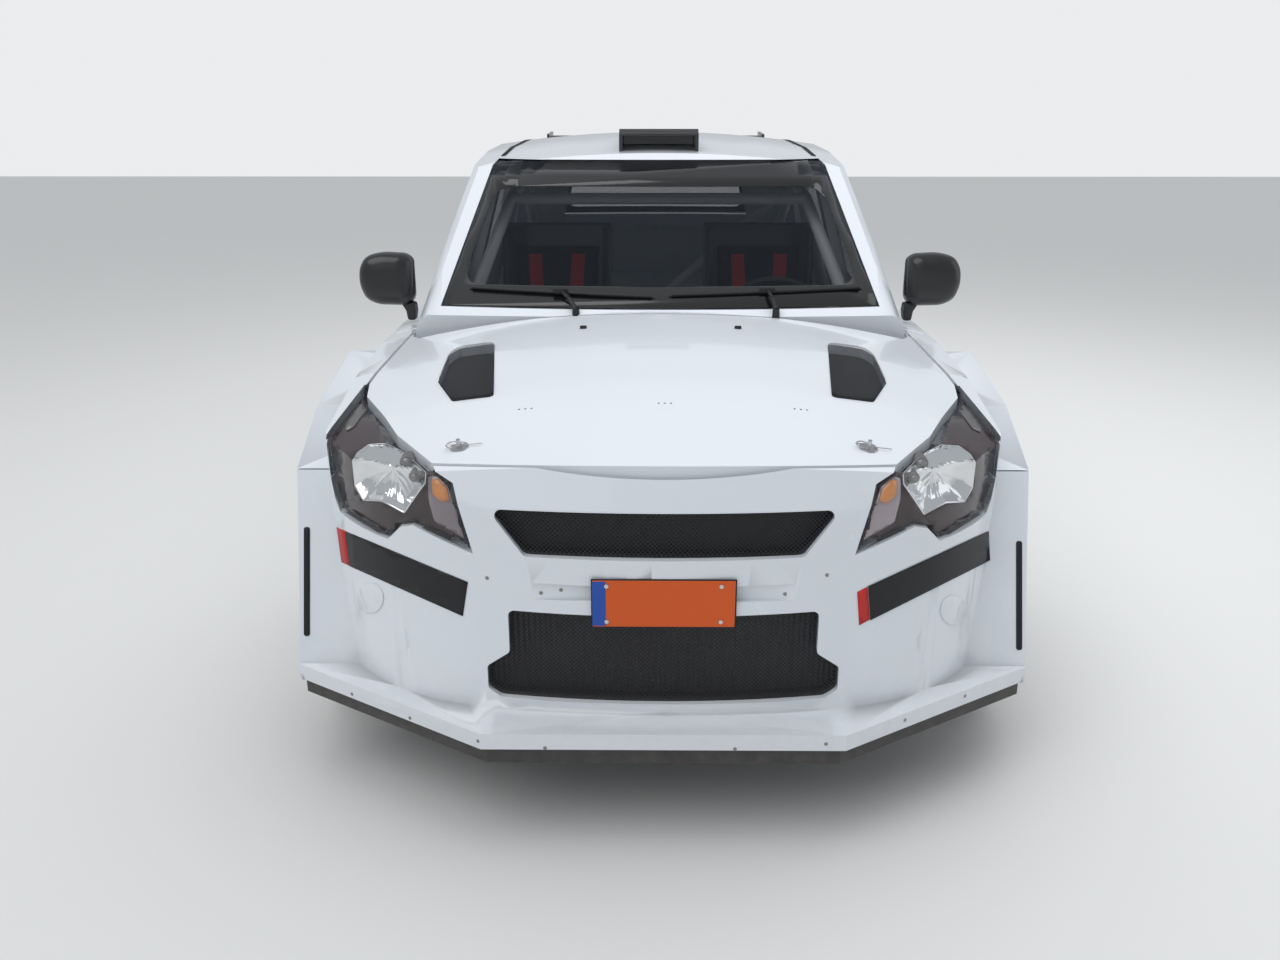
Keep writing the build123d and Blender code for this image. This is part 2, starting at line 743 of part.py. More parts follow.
end_plate = [(wing_y + 5, 1350), (wing_y + 120, 1270), (wing_y + 226, 1330), (wing_y + 232, 1448),
             (wing_y + 5, 1436)]
wing_foot = [(roof_end_y - 31, 1312), (roof_end_y + 10, 1250), (wing_y + 110, wing_z + 20),
             (wing_y + 40, wing_z + 14)]
rear_wing = joined(
    side_prism([(wing_y + y, wing_z + z) for y, z in wing_section], x_from=-wing_half, x_to=wing_half),
    both(side_prism(end_plate, x_from=wing_half - 12, x_to=wing_half)),
    both(less(side_prism(wing_foot, x_from=440, x_to=456), outer)),
)
write(rear_wing, "rear_wing")

# Rear bumper and tail lamps
rear_bumper = less(
    meet(outer_lower, block(-far, far, tail(380 + seam_gap), tail(700), 250, rear_seam - seam_gap)),
    bumper_inside,
)
bumper_flares = meet(both(rear_flare), block(-far, far, tail(380 + seam_gap), tail(700), 250, rear_seam - seam_gap))
diffuser = less(block(-520, 520, tail(300), tail(560), 205, 262), bumper_inside)
fins = [block(x - 3, x + 3, tail(330), tail(560), 175, 206) for x in (-390, -195, 0, 195, 390)]
plate_recess = block(-190, 190, tail(400), tail(600), 520, 640)
plate_panel = meet(block(-189, 189, tail(480), tail(535), 519, 641), outer_lower)
pipe_hole = rod((240, tail(380), 290), (240, tail(620), 290), 42)
rear_bumper = less(
    joined(less(joined(rear_bumper, bumper_flares), plate_recess), diffuser, plate_panel, *fins), pipe_hole
)
write(rear_bumper, "rear_bumper")
tail_lamps = both(less(meet(outer_lower, tail_lamp_room(-seam_gap)), skin_inside))
write(tail_lamps, "tail_lamps")

# Roof scoop, an open-mouthed duct on the roof
scoop_half = 133.0
scoop_wall = 12.0
scoop_front = back(1764)
scoop_rear = back(2080)
scoop_side = [(scoop_front + 8, 1340), (scoop_front, 1448), (scoop_front + 30, 1464), (scoop_rear, 1440),
              (scoop_rear, 1340)]
scoop_mouth = [(scoop_front - 5, 1340), (scoop_front - 5, 1442), (scoop_front + 150, 1442),
               (scoop_front + 150, 1340)]
scoop = less(
    side_prism(scoop_side, x_from=-scoop_half, x_to=scoop_half),
    side_prism(scoop_mouth, x_from=-scoop_half + scoop_wall, x_to=scoop_half - scoop_wall),
    outer,
)
write(scoop, "roof_scoop")

# Mirrors on the front doors
mirror_plan = [(778, back(1352)), (792, back(1306)), (905, back(1322)), (928, back(1366)), (905, back(1378)),
               (785, back(1378))]
mirror_head = plan_prism(mirror_plan, 972, 1098)
mirror_arm = side_prism(
    [(back(1330), 868), (back(1375), 868), (back(1372), 1000), (back(1340), 1000)], x_from=745, x_to=805
)
mirror_left = less(joined(mirror_head, mirror_arm), outer)
write(mirror_left, "mirror_left")
write(mirror(mirror_left, about=Plane.YZ), "mirror_right")

# Wheels and tyres, made at the left and mirrored to the right
spoke_count = 10
spoke_face = 70.0  # spokes' outer face, from the tyre's middle
spoke_depth = 30.0
barrel_wall = 12.0
hub_radius = 60.0
disc_radius = 150.0
disc_inner = -62.0
disc_outer = -34.0
kingpin_x = 680.0
kingpin_radius = 26.0
half_tread = tyre_width / 2 - 20
half_rim = rim_width / 2
tyre_section = [
    (-tyre_width / 2, rim_radius), (-half_tread, tyre_radius), (half_tread, tyre_radius), (tyre_width / 2, rim_radius),
]
spoke_length = rim_radius - barrel_wall + 2 - (hub_radius - 8)
for place, y in (("front", front_axle), ("rear", rear_axle)):
    centre = (track_half, y, tyre_radius)
    tyre = lathe(centre, tyre_section)
    barrel = lathe(centre, [
        (-half_rim, rim_radius), (half_rim, rim_radius), (half_rim, rim_radius - barrel_wall),
        (-half_rim, rim_radius - barrel_wall),
    ])
    hub = lathe(centre, [
        (disc_inner, 0), (disc_inner, disc_radius), (disc_outer, disc_radius), (disc_outer, hub_radius),
        (spoke_face - 6, hub_radius), (spoke_face - 6, 34), (spoke_face + 10, 34), (spoke_face + 10, 0),
    ])
    face = Plane(origin=(track_half + spoke_face, y, tyre_radius), x_dir=(0, 1, 0), z_dir=(1, 0, 0))
    with BuildPart() as spokes:
        with BuildSketch(face):
            with PolarLocations(hub_radius - 8, spoke_count):
                Polygon(
                    (0, -15), (spoke_length, -21), (spoke_length, 21), (0, 15),
                    align=(Align.MIN, Align.CENTER),
                )
        extrude(amount=-spoke_depth)
    wheel = joined(barrel, hub, spokes.part)
    column = rod((kingpin_x, y, 215), (kingpin_x, y, 430), kingpin_radius)
    spindle = rod((kingpin_x, y, tyre_radius), (track_half + disc_inner - fit_gap, y, tyre_radius), 32)
    disc_x = track_half + disc_inner
    caliper = less(
        block(disc_x - 20, disc_x + 48, y + 96, y + 166, tyre_radius - 55, tyre_radius + 55),
        block(disc_x - 3, track_half + disc_outer + 3, y, y + disc_radius + 3, 0, 700),
    )
    bracket = block(kingpin_x, disc_x - 10, y, y + 110, tyre_radius - 20, tyre_radius + 20)
    knuckle = joined(column, spindle, caliper, bracket)
    for side in ("left", "right"):
        for shape, label in ((wheel, f"wheel_{place}_{side}"), (tyre, f"tyre_{place}_{side}")):
            write(shape if side == "left" else mirror(shape, about=Plane.YZ), label)
        if place == "front":
            write(knuckle if side == "left" else mirror(knuckle, about=Plane.YZ), f"knuckle_{side}")
    if place == "rear":
        write(both(knuckle), "knuckles_rear")
print("wheels")

# Suspension: subframes, lower arms and struts
strut_x = 612.0
pieces = []
for y, strut_top in ((front_axle, 792), (rear_axle, 690)):
    pieces.append(block(-400, 400, y - 120, y + 120, 188, 230))
    arm = plan_prism(
        [(380, y - 100), (380, y + 100), (400, y + 100), (kingpin_x + 14, y + 20), (kingpin_x + 14, y - 20),
         (400, y - 100)], 188, 212,
    )
    left = [
        less(arm, plan_prism([(415, y - 70), (415, y + 70), (600, y + 18), (600, y - 18)], 180, 220)),
        rod((kingpin_x, y, 200), (kingpin_x, y, 215 - fit_gap), 15),
        block(strut_x - 24, kingpin_x + 15, y - 14, y + 14, 440, 466),
        rod((kingpin_x, y, 430 + fit_gap), (kingpin_x, y, 441), 15),
        rod((strut_x, y, 440), (strut_x, y, 661), 22),
        rod((strut_x, y, 660), (strut_x, y, strut_top), 42),
    ]
    pieces.append(both(joined(*left)))
suspension = less(joined(*pieces), rear_strut_trim)
write(suspension, "suspension")

# Engine, drive line, radiator and exhaust
engine = joined(
    block(-340, 340, front_axle - 275, front_axle + 65, 262, 760),
    both(block(330, 380 - fit_gap, front_axle - 120, front_axle - 60, 530, 570)),
)
write(engine, "engine_block")
diff_half = 95.0
driveline = joined(
    rod((0, front_axle + 65 + fit_gap, 285), (0, rear_axle - 115, 300), 34),
    block(-diff_half, diff_half, rear_axle - 120, rear_axle + 105, 230 + fit_gap, 390),
)
shafts = []
for y, start in ((front_axle, 340 + fit_gap), (rear_axle, diff_half)):
    shafts.append(rod((start, y, tyre_radius), (kingpin_x - kingpin_radius - fit_gap, y, tyre_radius), 14))
    shafts.append(rod((600, y, tyre_radius), (kingpin_x - kingpin_radius - fit_gap, y, tyre_radius), 32))
driveline = joined(driveline, both(joined(*shafts)))
write(driveline, "driveline")
radiator = block(-340, 340, back(175) + fit_gap, back(215), 290, 700)
write(radiator, "radiator")
exhaust = joined(
    rod((80, front_axle + 65 + fit_gap, 275), (80, tail(-300), 275), 26),
    rod((80, tail(-300), 275), (235, tail(150), 285), 26),
    block(150, 330, tail(140), tail(400), 240, 345),
    rod((240, tail(390), 290), (240, tail(560), 290), 36),
    rod((240, tail(270), 340), (240, tail(270), 430), 6),
)

# Cabin: cage, seats, dashboard, steering wheel
hoop_y = back(2130)
header_y = back(1760)


def tube(points, radius):
    """Tube, bent with mitres, along points."""
    with BuildPart() as bar:
        with BuildLine():
            Polyline(*points)
        with BuildSketch(Plane(origin=points[0], z_dir=Vector(*points[1]) - Vector(*points[0]))):
            Circle(radius)
        sweep(transition=Transition.RIGHT)
    return bar.part


hoop_half = [(640, hoop_y, floor_top), (640, hoop_y, 880), (520, hoop_y, 1285)]
hoop = tube(hoop_half + [(-x, y, z) for x, y, z in reversed(hoop_half)], 22)
side_bars = joined(
    tube([(625, back(1290), floor_top), (615, back(1280), 860), (500, header_y, 1240), (505, hoop_y, 1280)], 20),
    tube([(500, hoop_y + 10, 1270), (430, tail(-40), 460)], 18),
    tube([(623, back(1289), 350), (640, hoop_y, 620)], 17),
    tube([(619, back(1284), 640), (640, hoop_y, 380)], 16),
)
cage = joined(
    hoop, both(side_bars), tube([(-500, header_y, 1240), (500, header_y, 1240)], 19),
    tube([(-632, hoop_y, 300), (505, hoop_y, 1270)], 17),
)
cage = less(cage, both(floor))
write(cage, "roll_cage")
seat_y = back(1470)
seat_side = [
    (seat_y, 330), (seat_y + 400, 300), (seat_y + 470, 420), (seat_y + 590, 1120), (seat_y + 540, 1140),
    (seat_y + 480, 1120), (seat_y + 385, 640), (seat_y + 340, 520), (seat_y, 470),
]
seat_hollow = [
    (seat_y - 20, 400), (seat_y + 340, 375), (seat_y + 400, 440), (seat_y + 515, 1100), (seat_y + 540, 1300),
    (seat_y - 20, 1300),
]
seats = both(joined(
    less(side_prism(seat_side, x_from=170, x_to=560), side_prism(seat_hollow, x_from=200, x_to=530)),
    block(220, 250, seat_y + 60, seat_y + 380, floor_top, 330),
    block(480, 510, seat_y + 60, seat_y + 380, floor_top, 330),
))
write(seats, "seats")
dash_side = [
    (back(1040), 745), (back(1040), 880), (back(1290), 870), (back(1345), 805), (back(1325), 745),
]
dashboard = meet(side_prism(dash_side, x_from=-585, x_to=585), wall_inside)
write(dashboard, "dashboard")
wheel_middle = Vector(365, back(1480), 860)
wheel_plane = Plane(origin=wheel_middle, x_dir=(1, 0, 0), z_dir=(0, 0.92, 0.39))
with BuildPart() as steering:
    with BuildSketch(wheel_plane.offset(-13)):
        RegularPolygon(176, 24)
        RegularPolygon(150, 24, mode=Mode.SUBTRACT)
    extrude(amount=26)
    with BuildSketch(wheel_plane.offset(-5)):
        RegularPolygon(34, 12)
        with PolarLocations(0, 3, start_angle=-90):
            with Locations((85, 0)):
                Rectangle(144, 24)
    extrude(amount=8)
    with BuildSketch(wheel_plane.offset(-165)):
        Circle(18)
    extrude(amount=164)
steering_wheel = less(steering.part, dashboard)
write(steering_wheel, "steering_wheel")

# Wipers, parked along the foot of the windscreen
blade_width = 14.0
blade_height = 11.0
wiper_band = less(cabin_form(glass_depth - fit_gap - blade_height), cabin_form(glass_depth - fit_gap))


def strip(start, end, width):
    """Thin prism along a line of the front view, from (x, z) to (x, z)."""
    run = Vector(*end) - Vector(*start)
    side = Vector(-run.Y, run.X) * (width / 2 / run.length)
    corners = [Vector(*start) + side, Vector(*end) + side, Vector(*end) - side, Vector(*start) - side]
    return front_prism([(corner.X, corner.Y) for corner in corners], back(1000), back(1350))


strips = []
for start, end, pivot in (((25, 1004), (595, 1016), 330), ((-560, 1016), (-15, 1000), -240)):
    middle = ((start[0] + end[0]) / 2, (start[1] + end[1]) / 2)
    strips.append(joined(strip(start, end, blade_width), strip(middle, (pivot, 950), 12)))
pivots = [rod((x, back(1076), 930), (x, back(1076), 974), 9) for x in (330, -240)]
screen_foot = meet(outer, block(-700, 700, back(900), back(1300), 800, 975 + fit_gap))
wipers = less(joined(meet(wiper_band, joined(*strips)), *pivots), screen_foot)
write(wipers, "wipers")
write(exhaust, "exhaust")
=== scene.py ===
import json
import math

import bmesh
import bpy
from mathutils import Euler, Matrix, Vector
from mathutils.bvhtree import BVHTree


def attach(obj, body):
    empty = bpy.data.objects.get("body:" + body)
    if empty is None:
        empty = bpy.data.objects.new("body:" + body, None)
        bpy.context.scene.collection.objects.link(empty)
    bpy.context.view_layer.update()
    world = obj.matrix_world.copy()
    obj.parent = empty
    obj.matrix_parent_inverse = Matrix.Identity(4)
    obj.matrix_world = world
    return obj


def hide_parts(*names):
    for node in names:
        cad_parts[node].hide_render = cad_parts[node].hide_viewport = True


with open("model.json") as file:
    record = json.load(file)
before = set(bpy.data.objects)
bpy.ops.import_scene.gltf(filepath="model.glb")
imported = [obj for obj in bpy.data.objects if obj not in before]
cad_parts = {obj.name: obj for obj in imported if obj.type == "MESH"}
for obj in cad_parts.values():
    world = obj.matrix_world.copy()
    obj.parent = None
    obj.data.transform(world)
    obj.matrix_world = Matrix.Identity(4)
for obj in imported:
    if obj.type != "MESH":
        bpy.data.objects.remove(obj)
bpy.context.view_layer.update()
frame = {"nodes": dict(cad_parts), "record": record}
nodes = frame["nodes"]
mm = 0.001
noseY = -1.920
frontAxle = -1.125
rearAxle = 1.355
trackHalf = 0.778
wheelHeight = 0.325
acrossCar = Vector((1, 0, 0))
forward = Vector((0, -1, 0))
upward = Vector((0, 0, 1))


def back(distance):
    # row of a point this many millimetres behind the nose
    return noseY + distance * mm


# Shader groups that several finishes share
def newGroup(name, inputs, outputs):
    group = bpy.data.node_groups.new(name, "ShaderNodeTree")
    for label, kind, value in inputs:
        group.interface.new_socket(name=label, in_out="INPUT", socket_type=kind).default_value = value
    for label, kind in outputs:
        group.interface.new_socket(name=label, in_out="OUTPUT", socket_type=kind)
    return group, group.nodes.new("NodeGroupInput").outputs, group.nodes.new("NodeGroupOutput").inputs


def feed(tree, node, inputs):
    # a node's inputs, each linked to a socket or set to a plain value; gives the outputs
    for label, value in inputs.items():
        if isinstance(value, bpy.types.NodeSocket):
            tree.links.new(value, node.inputs[label])
        else:
            node.inputs[label].default_value = value
    return node.outputs


def addMath(tree, operation, *inputs):
    node = tree.nodes.new("ShaderNodeMath")
    node.operation = operation
    return feed(tree, node, dict(enumerate(inputs)))[0]


def objectPlace(tree):
    return tree.nodes.new("ShaderNodeTexCoord").outputs["Object"]


def addNoise(tree, place, scale, detail):
    noise = tree.nodes.new("ShaderNodeTexNoise")
    return feed(tree, noise, {"Vector": place, "Scale": scale, "Detail": detail})["Fac"]


def makeGrainGroup():
    # fine bump and a slow drift of colour, both in object space
    group, given, out = newGroup(
        "Grain",
        [("Base", "NodeSocketColor", (0.5, 0.5, 0.5, 1)), ("Scale", "NodeSocketFloat", 400.0),
         ("Drift", "NodeSocketFloat", 0.1), ("Depth", "NodeSocketFloat", 0.1)],
        [("Color", "NodeSocketColor"), ("Normal", "NodeSocketVector"), ("Mask", "NodeSocketFloat")],
    )
    place = objectPlace(group)
    fine = addNoise(group, place, given["Scale"], 3)
    slow = addNoise(group, place, 3.1, 5)
    shift = addMath(group, "MULTIPLY_ADD", addMath(group, "SUBTRACT", slow, 0.5), given["Drift"], 1.0)
    tint = group.nodes.new("ShaderNodeVectorMath")
    tint.operation = "SCALE"
    tone = feed(group, tint, {0: given["Base"], "Scale": shift})[0]
    bump = feed(group, group.nodes.new("ShaderNodeBump"),
                {"Distance": 0.0006, "Strength": given["Depth"], "Height": fine})[0]
    for label, value in (("Color", tone), ("Normal", bump), ("Mask", slow)):
        group.links.new(value, out[label])
    return group


def makeDustGroup():
    # road dust that thickens towards the ground
    group, given, out = newGroup(
        "RoadDust",
        [("Base", "NodeSocketColor", (0.8, 0.8, 0.8, 1)), ("Dust", "NodeSocketColor", (0.42, 0.38, 0.33, 1)),
         ("Top", "NodeSocketFloat", 0.5), ("Amount", "NodeSocketFloat", 0.3)],
        [("Color", "NodeSocketColor"), ("Mask", "NodeSocketFloat")],
    )
    place = objectPlace(group)
    height = feed(group, group.nodes.new("ShaderNodeSeparateXYZ"), {0: place})["Z"]
    ramp = feed(group, group.nodes.new("ShaderNodeMapRange"),
                {"Value": height, "From Min": 0.12, "From Max": given["Top"], "To Min": 1.0, "To Max": 0.0})[0]
    specks = addNoise(group, place, 38, 8)
    amount = addMath(group, "MULTIPLY", addMath(group, "MULTIPLY", ramp, specks), given["Amount"])
    amount.node.use_clamp = True
    mix = group.nodes.new("ShaderNodeMix")
    mix.data_type = "RGBA"
    tone = feed(group, mix, {"Factor": amount, "A": given["Base"], "B": given["Dust"]})["Result"]
    for label, value in (("Color", tone), ("Mask", amount)):
        group.links.new(value, out[label])
    return group


grainGroup = makeGrainGroup()
dustGroup = makeDustGroup()


def startMaterial(name):
    material = bpy.data.materials.new(name)
    material.use_nodes = True
    return material, material.node_tree, material.node_tree.nodes["Principled BSDF"]


def placeGroup(tree, group, inputs):
    node = tree.nodes.new("ShaderNodeGroup")
    node.node_tree = group
    return feed(tree, node, inputs)


def addGrain(tree, colour, scale, drift, depth):
    return placeGroup(tree, grainGroup, {"Base": (*colour, 1), "Scale": scale, "Drift": drift, "Depth": depth})


def makeFinish(name, colour, roughness, grain, metallic=0.0, coat=0.0, dust=None):
    # a surface with grain, a slow drift of tone, and road dust low down, given as its top and amount
    material, tree, shader = startMaterial(name)
    grain = addGrain(tree, colour, *grain)
    tone = grain["Color"]
    if dust:
        tone = placeGroup(tree, dustGroup, {"Base": tone, "Top": dust[0], "Amount": dust[1]})["Color"]
    spread = feed(tree, tree.nodes.new("ShaderNodeMapRange"), {
        "Value": grain["Mask"], "To Min": max(0.02, roughness - 0.05), "To Max": min(1.0, roughness + 0.07)})[0]
    feed(tree, shader, {"Base Color": tone, "Normal": grain["Normal"], "Roughness": spread, "Metallic": metallic,
                        "Coat Weight": coat, "Coat Roughness": 0.04})
    return material


def makeGlass(name, colour, alpha, coat, shine):
    material, tree, shader = startMaterial(name)
    feed(tree, shader, {"Base Color": (*colour, 1), "Roughness": 0.02, "Alpha": alpha, "Specular IOR Level": shine,
                        "Coat Weight": coat, "Coat Roughness": 0.01})
    return material


def makeWireMesh(name, pitch, across="Z", hole=0.5):
    # black woven wire: slanting strands with open holes between them
    material, tree, shader = startMaterial(name)
    axes = feed(tree, tree.nodes.new("ShaderNodeSeparateXYZ"), {0: objectPlace(tree)})
    waves = []
    for operation in ("ADD", "SUBTRACT"):
        slant = addMath(tree, operation, axes["X"], axes[across])
        wave = addMath(tree, "SINE", addMath(tree, "MULTIPLY", slant, math.pi / pitch))
        waves.append(addMath(tree, "ABSOLUTE", wave))
    nearest = addMath(tree, "MINIMUM", *waves)
    bump = tree.nodes.new("ShaderNodeBump")
    bump.invert = True
    normal = feed(tree, bump, {"Strength": 0.6, "Distance": 0.001, "Height": nearest})[0]
    grain = addGrain(tree, (0.022, 0.022, 0.024), 700, 0.3, 0.1)
    feed(tree, shader, {"Base Color": grain["Color"], "Alpha": addMath(tree, "LESS_THAN", nearest, hole),
                        "Normal": normal, "Roughness": 0.38, "Metallic": 0.2})
    return material


def makeFins(name, colour, pitch):
    # upright cooling fins, read from the car's sideways coordinate
    material, tree, shader = startMaterial(name)
    grain = addGrain(tree, colour, 300, 0.3, 0.1)
    axes = feed(tree, tree.nodes.new("ShaderNodeSeparateXYZ"), {0: objectPlace(tree)})
    wave = addMath(tree, "SINE", addMath(tree, "MULTIPLY", axes["X"], math.tau / pitch))
    bump = feed(tree, tree.nodes.new("ShaderNodeBump"), {"Distance": 0.004, "Height": wave})[0]
    feed(tree, shader, {"Base Color": grain["Color"], "Normal": bump, "Roughness": 0.5, "Metallic": 0.6})
    return material


finishes = {
    # name, colour, roughness, then the grain's scale, drift of tone and depth
    "paint": makeFinish("WhiteEnamel", (0.77, 0.81, 0.86), 0.24, (900, 0.03, 0.012), coat=0.9, dust=(0.42, 0.35)),
    "blackPlastic": makeFinish("BlackMouldedPlastic", (0.018, 0.018, 0.02), 0.5, (1100, 0.2, 0.3), dust=(0.4, 0.25)),
    "glossBlack": makeFinish("GlossBlackComposite", (0.012, 0.012, 0.013), 0.16, (300, 0.2, 0.02), coat=0.7),
    "rubber": makeFinish("SealRubber", (0.012, 0.012, 0.012), 0.7, (700, 0.2, 0.2)),
    "tyre": makeFinish("TyreRubber", (0.022, 0.022, 0.023), 0.78, (500, 0.35, 0.35), dust=(0.5, 0.55)),
    "rim": makeFinish("WhiteRimEnamel", (0.74, 0.76, 0.79), 0.3, (500, 0.05, 0.03), coat=0.6, dust=(0.6, 0.5)),
    "darkMetal": makeFinish("ChassisBlack", (0.05, 0.05, 0.052), 0.5, (260, 0.4, 0.2), metallic=0.6, dust=(0.6, 0.8)),
    "steel": makeFinish("BrightSteel", (0.62, 0.62, 0.63), 0.28, (320, 0.2, 0.08), metallic=1.0),
    "castSteel": makeFinish("CastSteel", (0.3, 0.29, 0.28), 0.5, (240, 0.4, 0.3), metallic=0.9),
    "chrome": makeFinish("BrightReflector", (0.86, 0.87, 0.88), 0.06, (120, 0.04, 0.01), metallic=1.0),
    "lampDark": makeFinish("LampSurround", (0.022, 0.006, 0.007), 0.25, (200, 0.3, 0.02), coat=0.2),
    "frostGlass": makeFinish("FrostedUnit", (0.30, 0.26, 0.28), 0.2, (60, 1.2, 0.2), metallic=0.4, coat=0.6),
    "mirrorShell": makeFinish("MirrorShell", (0.014, 0.014, 0.015), 0.3, (1000, 0.2, 0.12), coat=0.25),
    "amber": makeFinish("AmberTurnUnit", (0.62, 0.24, 0.07), 0.18, (200, 0.15, 0.02), coat=0.8),
    "redLens": makeFinish("RedLens", (0.42, 0.012, 0.014), 0.12, (200, 0.15, 0.01), coat=1.0),
    "clearLens": makeGlass("ClearLens", (0.6, 0.63, 0.66), 0.03, 0.3, 0.3),
    "screenGlass": makeGlass("ScreenGlass", (0.004, 0.008, 0.014), 0.3, 0.2, 0.35),
    "sideGlass": makeGlass("SideGlass", (0.006, 0.008, 0.009), 0.5, 0.3, 0.4),
    "wireMesh": makeWireMesh("BlackWireMesh", 0.0095, hole=0.4),
    "ventMesh": makeWireMesh("BlackVentMesh", 0.0085, "Y"),
    "radiatorCore": makeFins("RadiatorCore", (0.11, 0.11, 0.115), 0.012),
    "orange": makeFinish("OrangePlate", (0.70, 0.10, 0.008), 0.55, (600, 0.06, 0.05)),
    "blue": makeFinish("BluePlateBand", (0.015, 0.08, 0.42), 0.55, (600, 0.06, 0.05)),
    "red": makeFinish("RedVinyl", (0.55, 0.02, 0.018), 0.5, (500, 0.05, 0.02)),
    "blackVinyl": makeFinish("BlackVinyl", (0.005, 0.005, 0.006), 0.5, (500, 0.1, 0.02)),
    "cageGrey": makeFinish("GreyTubePaint", (0.72, 0.74, 0.76), 0.32, (500, 0.06, 0.04)),
    "seatShell": makeFinish("SeatShell", (0.02, 0.02, 0.022), 0.3, (500, 0.2, 0.05), coat=0.5),
    "seatCloth": makeFinish("SeatCloth", (0.02, 0.02, 0.022), 0.85, (1600, 0.3, 0.8)),
    "harness": makeFinish("RedWebbing", (0.7, 0.02, 0.02), 0.7, (1400, 0.15, 0.6)),
    "dashCloth": makeFinish("FlockedDash", (0.022, 0.022, 0.024), 0.9, (1300, 0.2, 0.5)),
    "mirrorGlass": makeFinish("MirrorGlass", (0.8, 0.82, 0.84), 0.03, (100, 0.02, 0.0), metallic=1.0),
}
print("finishes made", len(finishes))

bodyOf = {node: body for body, names in frame["record"]["behaviour"]["bodies"].items() for node in names}


def addObject(name, data):
    thing = bpy.data.objects.new(name, data)
    bpy.context.scene.collection.objects.link(thing)
    return thing


def finishPiece(bm, name, finish, body, angle=35, replaces=()):
    # one finished object at the origin from a bmesh in the car's own frame
    mesh = bpy.data.meshes.new(name)
    bm.to_mesh(mesh)
    bm.free()
    piece = addObject(name, mesh)
    for entry in ([finish] if isinstance(finish, str) else finish):
        mesh.materials.append(finishes[entry])
    mesh.shade_smooth()
    mesh.set_sharp_from_angle(angle=math.radians(angle))
    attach(piece, body)
    if replaces:
        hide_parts(*replaces)
    return piece


def soften(piece, width, segments=2, angle=40):
    bevel = piece.modifiers.new("SoftEdges", "BEVEL")
    bevel.width = width
    bevel.segments = segments
    bevel.limit_method = "ANGLE"
    bevel.angle_limit = math.radians(angle)
    bevel.harden_normals = False


def thicken(piece, thickness, offset=-1):
    wall = piece.modifiers.new("Thickness", "SOLIDIFY")
    wall.thickness = thickness
    wall.offset = offset


def smoothCopy(node, finish, angle=30, bevelWidth=0.0):
    # the CAD piece's own mesh, merged and smoothed, in place of the loose one
    bm = bmesh.new()
    bm.from_mesh(nodes[node].data)
    bmesh.ops.remove_doubles(bm, verts=bm.verts, dist=0.00002)
    bmesh.ops.dissolve_degenerate(bm, edges=bm.edges, dist=0.00001)
    piece = finishPiece(bm, f"{node}_skin", finish, bodyOf[node], angle, (node,))
    if bevelWidth:
        soften(piece, bevelWidth)
    settle = piece.modifiers.new("PanelNormals", "WEIGHTED_NORMAL")
    settle.keep_sharp = True
    settle.weight = 60


def addBox(bm, low, high):
    size = [high[i] - low[i] for i in range(3)]
    centre = Vector([(high[i] + low[i]) / 2 for i in range(3)])
    return bmesh.ops.create_cube(bm, size=1, matrix=Matrix.Translation(centre) @ Matrix.Diagonal((*size, 1)))["verts"]


def addRod(bm, start, end, radius, sides=16, endRadius=None):
    start, end = Vector(start), Vector(end)
    run = end - start
    turn = run.to_track_quat("Z", "Y").to_matrix().to_4x4()
    bmesh.ops.create_cone(
        bm, cap_ends=True, segments=sides, radius1=radius, radius2=radius if endRadius is None else endRadius,
        depth=run.length, matrix=Matrix.Translation((start + end) / 2) @ turn,
    )


def addRing(bm, centre, axis, radius, thickness, around, section):
    # closed ring: a small circle spun round an axis
    axis = Vector(axis).normalized()
    side = axis.orthogonal().normalized()
    turn = Matrix((side, axis, side.cross(axis))).transposed().to_4x4()
    made = bmesh.ops.create_circle(bm, segments=section, radius=thickness, matrix=(
        Matrix.Translation(Vector(centre) + side * radius) @ turn))
    edges = list({edge for vert in made["verts"] for edge in vert.link_edges})
    bmesh.ops.spin(bm, geom=made["verts"] + edges, cent=centre, axis=axis, angle=math.tau, steps=around,
                   use_merge=True, use_duplicate=False)


def closeLoop(bm, verts):
    return [bm.edges.new((verts[i], verts[(i + 1) % len(verts)])) for i in range(len(verts))]


def spinProfile(bm, points, centre, steps):
    # closed section of (along, radius) points turned round an axle along X
    start = [bm.verts.new((centre[0] + x, centre[1], centre[2] + r)) for x, r in points]
    bmesh.ops.spin(bm, geom=start + closeLoop(bm, start), cent=centre, axis=acrossCar, angle=math.tau, steps=steps,
                   use_merge=True, use_duplicate=False)


def bridgeRings(bm, rings):
    # walls between rings of equal count
    for near, far in zip(rings, rings[1:]):
        for i in range(len(near)):
            k = (i + 1) % len(near)
            bm.faces.new((near[i], near[k], far[k], far[i]))


def joinRings(bm, rings):
    # walls between rings of equal count, the first and last ring closed
    bridgeRings(bm, rings)
    bm.faces.new(list(reversed(rings[0])))
    bm.faces.new(rings[-1])


def fixNormals(bm):
    bmesh.ops.remove_doubles(bm, verts=bm.verts, dist=0.000005)
    bmesh.ops.recalc_face_normals(bm, faces=bm.faces)


def turnFaces(bm, facing, faces=None):
    # faces of an open sheet turned to look towards one side
    bm.normal_update()
    turned = [face for face in faces or bm.faces if face.normal.dot(facing) < 0]
    if turned:
        bmesh.ops.reverse_faces(bm, faces=turned)


def mirrorAll(bm):
    # a mirrored twin of all that is there, across the car's middle; gives its faces
    made = bmesh.ops.mirror(bm, geom=bm.verts[:] + bm.edges[:] + bm.faces[:], axis="X", merge_dist=-1)
    return [item for item in made["geom"] if isinstance(item, bmesh.types.BMFace)]


